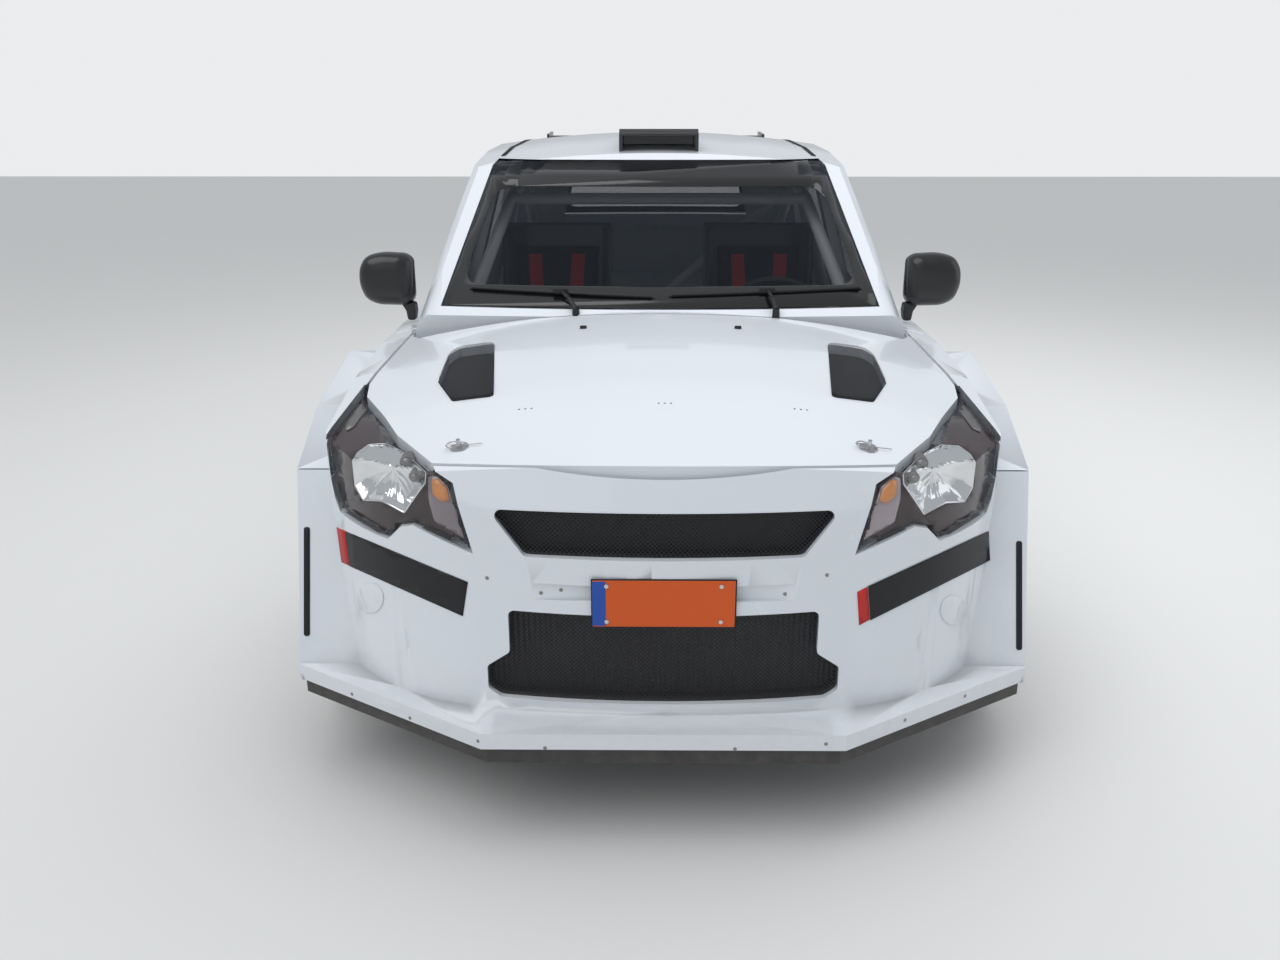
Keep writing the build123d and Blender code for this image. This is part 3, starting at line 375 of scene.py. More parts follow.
# Painted panels and other CAD skins, merged and smoothed
painted = (
    "body_shell", "front_bumper", "fender_left", "fender_right", "rear_bumper", "bonnet", "tailgate",
    "door_front_left", "door_front_right", "door_rear_left", "door_rear_right",
)
for node in painted:
    smoothCopy(node, "paint", 22)
plain = {
    "splitter": "blackPlastic", "rear_wing": "glossBlack",
    "tail_lamps": "redLens", "windscreen": "screenGlass", "tailgate_glass": "screenGlass",
    "door_glass_front_left": "sideGlass", "door_glass_front_right": "sideGlass",
    "door_glass_rear_left": "sideGlass", "door_glass_rear_right": "sideGlass",
    "headlamp_lenses": "clearLens", "suspension": "darkMetal",
    "knuckles_rear": "castSteel", "knuckle_left": "castSteel", "knuckle_right": "castSteel",
    "driveline": "darkMetal", "exhaust": "steel", "engine_block": "darkMetal", "radiator": "radiatorCore",
    "roll_cage": "cageGrey", "seats": "seatShell", "dashboard": "dashCloth", "steering_wheel": "blackPlastic",
}
for node, finish in plain.items():
    smoothCopy(node, finish)
smoothCopy("roof_scoop", "glossBlack", bevelWidth=0.0022)
print("panels smoothed")

# Camera settings, used here for pieces laid by the photograph's own view
photo = {"place": (-0.033, -3.796, 1.470), "down": 18.8, "yaw": 0.47, "focal": 1037.0, "wide": 1280, "high": 960}
photoAngles = (math.radians(90 - photo["down"]), 0, math.radians(photo["yaw"]))
photoTurn = Euler(photoAngles).to_matrix()


# Rays, as a start outside the car and a direction
def pixelRay(u, v):
    # the camera's line through a point of the picture
    across = (u - photo["wide"] / 2) / photo["focal"]
    up = (photo["high"] / 2 - v) / photo["focal"]
    return Vector(photo["place"]), (photoTurn @ Vector((across, up, -1))).normalized()


def frontRay(x, z):
    return Vector((x * mm, -3, z * mm)), -forward


def topRay(x, y):
    return Vector((x * mm, back(y), 3)), -upward


def sideRay(y, z):
    return Vector((3, back(y), z * mm)), -acrossCar


def rearRay(x, z):
    return Vector((x * mm, 4, z * mm)), forward


carrierTrees = {}


def carrierTree(names):
    # ray target made of several CAD skins
    if names not in carrierTrees:
        bm = bmesh.new()
        for name in names:
            bm.from_mesh(nodes[name].data)
        carrierTrees[names] = BVHTree.FromBMesh(bm)
        bm.free()
    return carrierTrees[names]


def hit(tree, ray, facing):
    # where a ray meets a panel, with the normal there turned to one side; none if it misses
    spot, normal = tree.ray_cast(*ray)[:2]
    if spot is not None and normal.dot(facing) <= 0:
        normal = -normal
    return spot, normal


def cutIntoStrips(bm, step):
    # lines across a flat sheet, so that it can follow a curved panel
    for axis in (0, 1):
        low = min(vert.co[axis] for vert in bm.verts)
        high = max(vert.co[axis] for vert in bm.verts)
        count = max(1, int((high - low) / step))
        for i in range(1, count):
            at = [0, 0, 0]
            at[axis] = low + (high - low) * i / count
            facing = [0, 0, 0]
            facing[axis] = 1
            bmesh.ops.bisect_plane(bm, geom=bm.verts[:] + bm.edges[:] + bm.faces[:], dist=0.0001,
                                   plane_co=at, plane_no=facing)


def layOn(bm, rayOf, names, lift, facing, lowest):
    # each point of a flat sheet moved along its ray onto the panel, a little proud of it
    tree = carrierTree(names)
    missed = []
    for vert in bm.verts:
        start, run = rayOf(vert.co.x, vert.co.y)
        place, normal = hit(tree, (start, run), -run)
        if place is None or place.z < lowest:
            missed.append(vert)
        else:
            vert.co = place + normal * lift
    if missed:
        bmesh.ops.delete(bm, geom=missed, context="VERTS")
    turnFaces(bm, facing)


def roundCorners(points, radius, steps=4):
    # outline with each corner cut by a short curve
    made = []
    for i, corner in enumerate(points):
        here = Vector(corner)
        before = Vector(points[i - 1]) - here
        after = Vector(points[(i + 1) % len(points)]) - here
        reach = min(radius, before.length * 0.45, after.length * 0.45)
        start = here + before.normalized() * reach
        end = here + after.normalized() * reach
        for k in range(steps + 1):
            t = k / steps
            made.append(tuple(start.lerp(here, t).lerp(here.lerp(end, t), t)))
    return made


def laySheet(name, finish, outline, rayOf, carriers, step, body="root", hole=None, lift=0.0006,
             facing=(0, -1, 0.4), rounding=0, twin=False, thickness=0.0008, lowest=0.0):
    # a thin film or plate cut to an outline and laid on panels; a hole leaves a border
    bm = bmesh.new()
    outer = [bm.verts.new((u, v, 0)) for u, v in (roundCorners(outline, rounding) if rounding else outline)]
    if hole:
        inner = [bm.verts.new((u, v, 0)) for u, v in hole]
        bmesh.ops.triangle_fill(bm, edges=closeLoop(bm, outer) + closeLoop(bm, inner), use_beauty=True,
                                use_dissolve=False)
    else:
        bm.faces.new(outer)
    cutIntoStrips(bm, step)
    layOn(bm, rayOf, carriers, lift, Vector(facing), lowest)
    if twin:
        turnFaces(bm, Vector((-facing[0], facing[1], facing[2])), mirrorAll(bm))
    piece = finishPiece(bm, name, finish, body)
    thicken(piece, thickness, 1)
    return piece


# Grilles: fine wire mesh over a backing, in place of the plain slats; behind the upper mesh the backing is a plain
# black sheet of painted shade, behind the lower one it is the finned radiator core
grilleSettings = {
    "upper": [(-361, 732), (-288, 634), (288, 634), (361, 732)],
    "lower": [(-327, 509), (-327, 410), (-378, 372), (-378, 318), (-350, 300), (350, 300), (378, 318), (378, 372),
              (327, 410), (327, 509)],
    "rounding": 16, "step": 40, "curve": 0.00024, "wireRow": 84, "backingRow": 118, "collarDeep": 0.036,
    "collarThick": 0.003, "sheetFacing": 0.7,
}


def grilleSheet(outline, row):
    # outline filled, cut into strips and bowed back towards its ends
    bm = bmesh.new()
    bm.faces.new([bm.verts.new((x, z, 0)) for x, z in roundCorners(outline, grilleSettings["rounding"])])
    cutIntoStrips(bm, grilleSettings["step"])
    for vert in bm.verts:
        x, z = vert.co.x, vert.co.y
        vert.co = (x * mm, back(row + grilleSettings["curve"] * x * x), z * mm)
    turnFaces(bm, forward)
    return bm


# the upper backing is painted shade, a black sheet for the dark space behind the grille; the lower backing is the
# radiator core
for place, backingFinish in (("upper", "blackPlastic"), ("lower", "radiatorCore")):
    wire = finishPiece(grilleSheet(grilleSettings[place], grilleSettings["wireRow"]), f"grille_mesh_{place}",
                       "wireMesh", "root")
    finishPiece(grilleSheet(grilleSettings[place], grilleSettings["backingRow"]), f"grille_backing_{place}", backingFinish,
                "root")
    # the collar is the wire's rim drawn backwards, without the sheet itself
    bm = bmesh.new()
    bm.from_mesh(wire.data)
    made = bmesh.ops.extrude_edge_only(bm, edges=[edge for edge in bm.edges if edge.is_boundary])
    drawn = [item for item in made["geom"] if isinstance(item, bmesh.types.BMVert)]
    bmesh.ops.translate(bm, verts=drawn, vec=(0, grilleSettings["collarDeep"], 0))
    sheet = [face for face in bm.faces if abs(face.normal.y) > grilleSettings["sheetFacing"]]
    bmesh.ops.delete(bm, geom=sheet, context="FACES")
    collar = finishPiece(bm, f"grille_collar_{place}", "blackPlastic", "root")
    thicken(collar, grilleSettings["collarThick"])
    if place == "upper":
        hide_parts("grilles")
print("grilles made")

# Bonnet vents: wire mesh sunk in the rounded openings, with a black sheet below it as painted shade of the space
# under the vent
ventSettings = {
    "outline": [(442, 850), (536, 850), (556, 800), (548, 600), (488, 457), (391, 457)], "rounding": 30,
    # a point of the mesh's plane as x, row and height, and how steeply the plane falls away from it
    "plane": (470, 650, 901), "slope": 0.13, "well": 0.03,
}


def ventHeight(x, y, sink):
    middleX, middleY, top = ventSettings["plane"]
    return (top - ventSettings["slope"] * (x - middleX) + ventSettings["slope"] * (y - middleY)) * mm - sink


# the sheet under the mesh is plain black: painted shade for the dark space below the vent
for label, sink, finish in (("mesh", 0.0, "ventMesh"), ("well", ventSettings["well"], "blackPlastic")):
    bm = bmesh.new()
    bm.faces.new([bm.verts.new((x * mm, back(y), ventHeight(x, y, sink)))
                  for x, y in roundCorners(ventSettings["outline"], ventSettings["rounding"])])
    mirrorAll(bm)
    turnFaces(bm, upward)
    piece = finishPiece(bm, f"vent_{label}", finish, "bonnet")
    if label == "mesh":
        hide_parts("bonnet_vents")
print("vents made")

# Dark borders of the windscreen and the tailgate window
screenSettings = {
    "outer": [(-637, 978), (-546, 1366), (546, 1366), (637, 978)],
    "clear": roundCorners([(-590, 1028), (-527, 1288), (527, 1288), (590, 1028)], 60, 6),
    "gateOuter": [(-476, 1054), (-423, 1314), (423, 1314), (476, 1054)],
    "gateClear": roundCorners([(-440, 1086), (-396, 1284), (396, 1284), (440, 1086)], 40, 6),
    "step": 45, "lift": 0.0004, "thick": 0.0005,
}
laySheet("windscreen_border", "glossBlack", screenSettings["outer"], frontRay, ("windscreen",),
         screenSettings["step"], hole=screenSettings["clear"], lift=screenSettings["lift"],
         thickness=screenSettings["thick"])
laySheet("tailgate_glass_border", "glossBlack", screenSettings["gateOuter"], rearRay, ("tailgate_glass",),
         screenSettings["step"], "tailgate", hole=screenSettings["gateClear"], lift=screenSettings["lift"],
         facing=(0, 1, 0.4), thickness=screenSettings["thick"])

# Blank number plate with its band, edge and rivets
plateSettings = {
    "row": 64, "rivetsAcross": (-118, 118), "rivetsHigh": (500, 580), "rivetRadius": (0.0045, 0.0055),
    # finish, sideways reach, rows from the plate's own, heights, bevel width and segments
    "number_plate_edge": ("blackVinyl", (-0.15, 0.15), (0, 3), (0.485, 0.595), 0.004, 3),
    "number_plate": ("orange", (-0.147, 0.147), (-1, 1), (0.488, 0.592), 0.003, 3),
    "number_plate_band": ("blue", (-0.1475, -0.1195), (-1.6, 0), (0.490, 0.590), 0.0006, 2),
}
for name in ("number_plate_edge", "number_plate", "number_plate_band"):
    finish, across, rows, heights, bevelWidth, segments = plateSettings[name]
    bm = bmesh.new()
    addBox(bm, *[(across[i], back(plateSettings["row"] + rows[i]), heights[i]) for i in (0, 1)])
    soften(finishPiece(bm, name, finish, "root"), bevelWidth, segments)
bm = bmesh.new()
for x in plateSettings["rivetsAcross"]:
    for z in plateSettings["rivetsHigh"]:
        tip, foot = [(x * mm, back(plateSettings["row"] + row), z * mm) for row in (-3, 0)]
        addRod(bm, tip, foot, plateSettings["rivetRadius"][0], 16, plateSettings["rivetRadius"][1])
finishPiece(bm, "number_plate_rivets", "steel", "root")
print("plate made")

# Strips and bars of vinyl on the bumper corners and flares, and the roof's seam strips
frontSkins = ("front_bumper", "fender_left", "fender_right")
stripSettings = {
    # finish, corners in the photograph's pixels, step, lift and rounding
    "corner_strip_right": ("blackVinyl", [(345.5, 531), (468, 582), (463, 616), (350, 566)], 9, 0.0006, 0),
    "corner_strip_tip_right": ("red", [(337, 527), (345, 530.5), (349.5, 565.5), (342, 562)], 9, 0.0006, 0),
    "corner_strip_left": ("blackVinyl", [(868, 586), (988, 531), (990, 560), (870, 620)], 3, 0.0012, 0),
    "corner_strip_tip_left": ("red", [(857, 592), (867.5, 586.5), (869.5, 619.5), (859, 625)], 9, 0.0006, 0),
    "flare_bar_right": ("blackVinyl", [(304, 527), (310, 527), (310, 636), (304, 636)], 12, 0.0006, 3),
    "flare_bar_left": ("blackVinyl", [(1016, 541), (1022, 541), (1022, 650), (1016, 650)], 12, 0.0006, 3),
}
for name, (finish, outline, step, lift, rounding) in stripSettings.items():
    laySheet(name, finish, outline, pixelRay, frontSkins, step, lift=lift, rounding=rounding)
seamSettings = {"outline": [(541, 1712), (556, 1712), (534, 2130), (520, 2640), (505, 2640), (519, 2130)],
                "thick": 0.002, "lowest": 1.25}
laySheet("roof_seam_strip", "rubber", seamSettings["outline"], topRay, ("body_shell",), 60,
         facing=(0, 0, 1), twin=True, thickness=seamSettings["thick"], lowest=seamSettings["lowest"])
print("strips made")

# Round blanks in place of the fog lamps
fogSettings = {"places": {"right": (371, 598), "left": (953, 610)}, "size": (13, 15), "corners": 28,
               "lift": 0.0004, "thick": 0.0022, "bevel": 0.0012}
for label, (u, v) in fogSettings["places"].items():
    angles = [math.tau * i / fogSettings["corners"] for i in range(fogSettings["corners"])]
    disc = [(u + fogSettings["size"][0] * math.cos(angle), v + fogSettings["size"][1] * math.sin(angle))
            for angle in angles]
    blank = laySheet(f"fog_blank_{label}", "paint", disc, pixelRay, frontSkins, 9,
                     lift=fogSettings["lift"], thickness=fogSettings["thick"])
    soften(blank, fogSettings["bevel"])

# Bonnet pins with plates and ring clips, washer nozzles and rivets
pinSettings = {
    "places": {"right": (-435, 236), "left": (435, 236)},
    # plate and pin along the bonnet's normal: start, end, radius at each, sides
    "rods": ((-0.0005, 0.0022, 0.021, 0.01953, 40), (0, 0.019, 0.0055, 0.0044, 20)),
    # wires across it: height, start and end to the side, radius, sides
    "wires": ((0.009, -0.012, 0.03, 0.0014, 10), (0.004, -0.012, -0.05, 0.0011, 8)),
    "ringHeight": 0.008, "ringAside": 0.014, "ring": 0.013, "ringWire": 0.0013,
}
nozzleSettings = {"across": (-210, 210), "row": 925, "box": ((-0.009, -0.006, -0.001), (0.009, 0.007, 0.007)),
                  "jet": ((0, -0.007, 0.004), (0, -0.002, 0.004)), "jetRadius": 0.002}
rivetSettings = {"across": (-309, 4, 309), "steps": (-14, 0, 14), "row": 378, "radius": 0.0022,
                 "ends": (-0.001, 0.0006)}
skinTree = carrierTree(("bonnet",))
for place, (x, y) in pinSettings["places"].items():
    spot, normal = hit(skinTree, topRay(x, y), upward)
    side = normal.cross(-forward).normalized()
    bm = bmesh.new()
    for start, end, radius, endRadius, sides in pinSettings["rods"]:
        addRod(bm, spot + normal * start, spot + normal * end, radius, sides, endRadius)
    centre = spot + normal * pinSettings["ringHeight"] + side * pinSettings["ringAside"]
    addRing(bm, centre, normal, pinSettings["ring"], pinSettings["ringWire"], 32, 8)
    for height, start, end, radius, sides in pinSettings["wires"]:
        middle = spot + normal * height
        addRod(bm, middle + side * start, middle + side * end, radius, sides)
    fixNormals(bm)
    finishPiece(bm, f"bonnet_pin_{place}", "steel", "bonnet")
bm = bmesh.new()
for x in nozzleSettings["across"]:
    spot = hit(skinTree, topRay(x, nozzleSettings["row"]), upward)[0]
    addBox(bm, *[spot + Vector(corner) for corner in nozzleSettings["box"]])
    addRod(bm, *[spot + Vector(end) for end in nozzleSettings["jet"]], nozzleSettings["jetRadius"], 10)
soften(finishPiece(bm, "washer_nozzles", "blackPlastic", "bonnet"), 0.002, 3)
bm = bmesh.new()
for x in rivetSettings["across"]:
    for step in rivetSettings["steps"]:
        spot = hit(skinTree, topRay(x + step, rivetSettings["row"]), upward)[0]
        addRod(bm, *[spot + upward * end for end in rivetSettings["ends"]], rivetSettings["radius"], 12)
finishPiece(bm, "bonnet_rivets", "darkMetal", "bonnet")

# Screws on the beam, the channel and the lip's lower edge, placed in the photograph's pixels
screwSettings = {
    "places": ((541, 593), (785, 594), (561, 590), (827, 575), (487, 578), (478, 741), (545, 748), (640, 751),
               (735, 749), (826, 744), (410, 718), (352, 694), (905, 720), (965, 696)),
    "ends": (-0.001, 0.0012), "radii": (0.0046, 0.0036),
}
bm = bmesh.new()
for u, v in screwSettings["places"]:
    spot, normal = hit(carrierTree(frontSkins), pixelRay(u, v), forward)
    if spot is not None:
        start, end = [spot + normal * end for end in screwSettings["ends"]]
        addRod(bm, start, end, screwSettings["radii"][0], 16, screwSettings["radii"][1])
finishPiece(bm, "bumper_screws", "castSteel", "root")
print("small fittings made")

# Headlamps: dark surround with a fluted bright bowl, bulbs and an amber turn unit, laid by the photograph's view
lampSettings = {
    # outlines in the photograph's pixels
    "surround": [(328, 437), (366.5, 391), (369.5, 402), (397, 439), (433.5, 470), (452, 483.5), (470.5, 552),
                 (414, 522.5), (402, 524), (387.5, 537), (342, 509), (331.5, 472)],
    "bowl": [(349.5, 462), (356, 450), (367, 442), (384, 441), (401, 449), (413, 459), (425, 470), (424, 483),
             (414, 497), (402, 514), (391, 508), (379, 502), (360, 501), (352, 487)],
    # units on the surround: finish, how far they stand off it, outline
    "units": {
        "turn": ("frostGlass", 0.0015, [(427.5, 477), (434.5, 474.5), (446.5, 484), (464, 540), (433, 522),
                                        (427, 499)]),
        "amber": ("amber", 0.003, [(431, 479.5), (437, 478), (446, 488), (449, 500), (441, 503), (432, 495)]),
        "upper": ("castSteel", 0.0015, [(364, 396), (368, 404), (353, 425), (345, 429), (344.5, 423)]),
    },
    # the rim's outer and inner edge from the surround's outline, in pixels, and how it lies on the lens
    "rimOut": 1.2, "rimIn": -2.4, "rimLift": -0.0008, "rimThick": 0.0006,
    # below the lens: the surround's and the bowl's edge, then the bowl's depth and its flutes
    "depth": 0.007, "bowlEdge": 0.006, "deep": 0.042, "flute": 0.0026, "flutes": 26, "flutePixels": 76,
    "rings": (1.0, 0.97, 0.9, 0.8, 0.68, 0.55, 0.42, 0.3, 0.18, 0.07), "rimSteps": 8,
    # bulbs: pixel, radius, how far behind the surround
    "bulbs": (((404, 462), 0.0165, 0.016), ((410, 481), 0.0125, 0.020)),
    # their can and tip: start and end behind the bulb's face, share of its radius at each, sides
    "bulbParts": ((0.03, 0, 1.0, 0.92, 28), (-0.001, -0.006, 0.7, 0.35, 24)),
    "can": {"x": 0.612, "z": 0.742, "rows": (318, 372), "radius": (0.058, 0.046)},
}
lensSkin = ("headlamp_lenses",)


def behindLens(u, v, depth):
    # the point that lies so far below the lens where the camera sees (u, v)
    spot, normal = hit(carrierTree(lensSkin), pixelRay(u, v), forward)
    return spot - normal * depth


def growOutline(points, by):
    # outline moved outwards by a distance, corner by corner
    turning = sum(points[i - 1][0] * points[i][1] - points[i][0] * points[i - 1][1] for i in range(len(points)))
    made = []
    for i, corner in enumerate(points):
        here = Vector(corner)
        before = (here - Vector(points[i - 1])).normalized()
        after = (Vector(points[(i + 1) % len(points)]) - here).normalized()
        outward = Vector(((before + after).y, -(before + after).x)).normalized() * math.copysign(1, turning)
        made.append(tuple(here + outward * by))
    return made


rimOuter, rimInner = [growOutline(lampSettings["surround"], lampSettings[edge]) for edge in ("rimOut", "rimIn")]
laySheet("headlamp_rim", "blackPlastic", rimOuter, pixelRay, lensSkin, 5, hole=rimInner,
         lift=lampSettings["rimLift"], twin=True, thickness=lampSettings["rimThick"])
surround = laySheet("headlamp_surround", "lampDark", lampSettings["surround"], pixelRay, lensSkin, 7,
                    hole=lampSettings["bowl"], lift=-lampSettings["depth"], twin=True, thickness=-0.002)
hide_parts("headlamp_housings")
for label, (finish, proud, outline) in lampSettings["units"].items():
    laySheet(f"headlamp_{label}", finish, outline, pixelRay, lensSkin, 5,
             lift=proud - lampSettings["depth"], rounding=2, twin=True, thickness=0.001)
bowl = [Vector(corner) for corner in lampSettings["bowl"]]
bowlMiddle = Vector([sum(corner[axis] for corner in lampSettings["bowl"]) / len(bowl) for axis in (0, 1)])
rim = [corner.lerp(bowl[(i + 1) % len(bowl)], k / lampSettings["rimSteps"])
       for i, corner in enumerate(bowl) for k in range(lampSettings["rimSteps"])]
bm = bmesh.new()
rings = []
for share in lampSettings["rings"]:
    ring = []
    for spot in rim:
        u, v = bowlMiddle.lerp(spot, share)
        wave = abs(math.sin(u * math.pi / lampSettings["flutePixels"] * lampSettings["flutes"]))
        sunk = lampSettings["deep"] * (1 - share ** 4) + wave * lampSettings["flute"] * (share < 0.95)
        ring.append(bm.verts.new(behindLens(u, v, lampSettings["bowlEdge"]) + Vector((0, sunk, 0))))
    rings.append(ring)
bridgeRings(bm, rings)
bm.faces.new(rings[-1])
turnFaces(bm, forward)
mirrorAll(bm)
turnFaces(bm, forward)
thicken(finishPiece(bm, "headlamp_bowls", "chrome", "root", 24), 0.0015)
bm = bmesh.new()
for pixel, radius, sunk in lampSettings["bulbs"]:
    spot = behindLens(*pixel, lampSettings["depth"]) + Vector((0, sunk, 0))
    for turn in (1, -1):
        middle = Vector((spot.x * turn, spot.y, spot.z))
        for start, end, share, endShare, sides in lampSettings["bulbParts"]:
            addRod(bm, middle - forward * start, middle - forward * end, radius * share, sides, radius * endShare)
soften(finishPiece(bm, "headlamp_bulbs", "castSteel", "root", 40), 0.001)
can = lampSettings["can"]
bm = bmesh.new()
for x in (can["x"], -can["x"]):
    near, far = [(x, back(row), can["z"]) for row in can["rows"]]
    addRod(bm, near, far, can["radius"][0], 32, can["radius"][1])
soften(finishPiece(bm, "headlamp_cans", "blackPlastic", "root", 40), 0.003)
print("headlamps made")

# Door mirrors: domed shells close to the doors, with the glass let in behind
mirrorSettings = {
    "outline": [(757, 968), (757, 1088), (778, 1104), (850, 1108), (900, 1096), (922, 1060), (925, 1010), (908, 966),
                (870, 948), (775, 946)],
    "middle": (838, 1026), "rounding": 60,
    # row behind the nose and the outline's share there, from the dome round to the glass
    "rings": ((1302, 0.34), (1304, 0.6), (1311, 0.8), (1323, 0.93), (1340, 0.995), (1366, 1.0), (1379, 0.975),
              (1381, 0.94), (1379, 0.91), (1371, 0.9)),
    "glass": (1374, 0.895),
    # height and outline of the foot's sections
    "foot": ((955, [(757, 1322), (800, 1328), (800, 1372), (757, 1376)]),
             (930, [(754, 1326), (786, 1332), (786, 1370), (754, 1374)]),
             (900, [(758, 1334), (783, 1336), (783, 1366), (758, 1368)])),
}


def mirrorRing(bm, turn, row, share):
    # the mirror's outline, shrunk towards its middle, at one row
    middleX, middleZ = mirrorSettings["middle"]
    return [bm.verts.new((turn * (middleX + (x - middleX) * share) * mm, back(row),
                          (middleZ + (z - middleZ) * share) * mm))
            for x, z in roundCorners(mirrorSettings["outline"], mirrorSettings["rounding"], 6)]


for side, turn in (("left", 1), ("right", -1)):
    door = f"door_front_{side}"
    bm = bmesh.new()
    joinRings(bm, [mirrorRing(bm, turn, row, share) for row, share in mirrorSettings["rings"]])
    fixNormals(bm)
    shell = finishPiece(bm, f"mirror_{side}_shell", "mirrorShell", door, 45)
    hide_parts(f"mirror_{side}")
    bm = bmesh.new()
    bm.faces.new(mirrorRing(bm, turn, *mirrorSettings["glass"]))
    turnFaces(bm, -forward)
    thicken(finishPiece(bm, f"mirror_{side}_glass", "mirrorGlass", door, 45), 0.001)
    bm = bmesh.new()
    joinRings(bm, [[bm.verts.new((turn * x * mm, back(y), z * mm)) for x, y in corners]
                   for z, corners in mirrorSettings["foot"]])
    fixNormals(bm)
    soften(finishPiece(bm, f"mirror_{side}_foot", "blackPlastic", door, 45), 0.007, 3)
print("mirrors made")

# Wipers: slim blades on tapered arms, in place of the plain bars
wiperSettings = {
    # each blade's ends on the glass as (x, height), and its pivot's x
    "blades": (((25, 1004), (595, 1016), 330), ((-560, 1016), (-15, 1000), -240)),
    # rubber and spine: lift off the glass, radius, share of the blade's length
    "layers": ((3, 0.0022, 1.0), (8, 0.0046, 0.97)),
    "armLift": 15, "pivotRow": 1076, "pivotHeights": (0.940, 0.982), "foot": 0.978, "steps": 10,
    # arm: share of the way to its elbow, how far that stands out, radii at foot, elbow and blade
    "elbow": 0.45, "raised": (0, -0.004, 0.008), "armRadii": (0.0085, 0.0065, 0.004), "pivotRadii": (0.0115, 0.010),
    "clip": ((-0.022, -0.007, -0.006), (0.022, 0.004, 0.006)),
}


def onScreen(x, z, lift):
    spot, normal = hit(carrierTree(("windscreen",)), frontRay(x, z), forward)
    return spot + normal * lift * mm


bm = bmesh.new()
for start, end, pivot in wiperSettings["blades"]:
    for lift, radius, reach in wiperSettings["layers"]:
        shares = [0.5 + (i / wiperSettings["steps"] - 0.5) * reach for i in range(wiperSettings["steps"] + 1)]
        spots = [onScreen(start[0] + (end[0] - start[0]) * t, start[1] + (end[1] - start[1]) * t, lift)
                 for t in shares]
        for near, far in zip(spots, spots[1:]):
            addRod(bm, near, far, radius, 10)
    middle = onScreen((start[0] + end[0]) / 2, (start[1] + end[1]) / 2, wiperSettings["armLift"])
    row = back(wiperSettings["pivotRow"])
    foot = Vector((pivot * mm, row, wiperSettings["foot"]))
    elbow = foot.lerp(middle, wiperSettings["elbow"]) + Vector(wiperSettings["raised"])
    footRadius, elbowRadius, endRadius = wiperSettings["armRadii"]
    addRod(bm, foot, elbow, footRadius, 12, elbowRadius)
    addRod(bm, elbow, middle, elbowRadius, 12, endRadius)
    addBox(bm, *[middle + Vector(corner) for corner in wiperSettings["clip"]])
    bottom, top = [(pivot * mm, row, height) for height in wiperSettings["pivotHeights"]]
    addRod(bm, bottom, top, wiperSettings["pivotRadii"][0], 24, wiperSettings["pivotRadii"][1])
finishPiece(bm, "wiper_set", "blackPlastic", "root", 40, ("wipers",))
print("wipers made")

# Seats: crowned pads with sewn channels, and red harnesses lying on them
seatSettings = {
    "middle": 0.365, "front": back(1470), "columns": 28, "rows": 56,
    # start and end of each pad in (row from the seat's front, height), its width, thickness, channels along it
    "pads": {"cushion": ((0.005, 0.403), (0.365, 0.380), 0.300, 0.055, (-0.36, 0.0, 0.36)),
             "back": ((0.403, 0.455), (0.508, 1.060), 0.300, 0.050, (-0.55, -0.2, 0.15, 0.5))},
    # sewn channels: depth, width along the pad, and the place and width of the side seams
    "sewn": 0.006, "channel": 0.035, "seam": 0.74, "seamWide": 0.05,
    # straps: width, thickness and the shares of the back's length that a shoulder strap follows
    "strap": (0.048, 0.0022), "shoulder": (0.9, 0.75, 0.55, 0.35, 0.1, -0.2, -0.5),
    # a shoulder strap's offset from the seat's middle, and its growth towards the top
    "apart": 0.062, "spread": 0.018, "offPad": 0.003,
    # lap strap: offset to the side, share of the cushion's length, lift off the pad
    "lap": ((0.142, 0.86, 0.006), (0.11, 0.75, 0.022)),
    # buckle: share of the cushion's length, height over it, where straps meet it, its rod's ends and radii
    "buckle": (0.55, 0.05), "shoulderEnd": (0.03, 0.02, 0.01), "lapEnd": (0.03, 0.006, 0),
    "buckleRod": ((0, 0.012, -0.006), (0, -0.01, 0.012)), "buckleRadii": (0.033, 0.03),
}


def padHeight(u, v, thickness, channels):
    # height of a pad's crown at shares u, v of its half width and half length
    edge = max(0.0, 1 - abs(u) ** 5) ** 0.5 * max(0.0, 1 - abs(v) ** 7) ** 0.5
    groove = sum(math.exp(-((v - line) / seatSettings["channel"]) ** 2) for line in channels if abs(u) < 0.72)
    side = math.exp(-((abs(u) - seatSettings["seam"]) / seatSettings["seamWide"]) ** 2)
    crown = 0.84 + 0.16 * math.cos(u * 1.3) * math.cos(v * 1.1)
    return thickness * edge * crown - seatSettings["sewn"] * max(groove, side)


def padFrame(sideX, start, end):
    # a pad's middle, its length and upward directions, and its half length
    front = seatSettings["front"]
    low, high = Vector((sideX, front + start[0], start[1])), Vector((sideX, front + end[0], end[1]))
    along = (high - low).normalized()
    return (low + high) / 2, along, acrossCar.cross(along), (high - low).length / 2


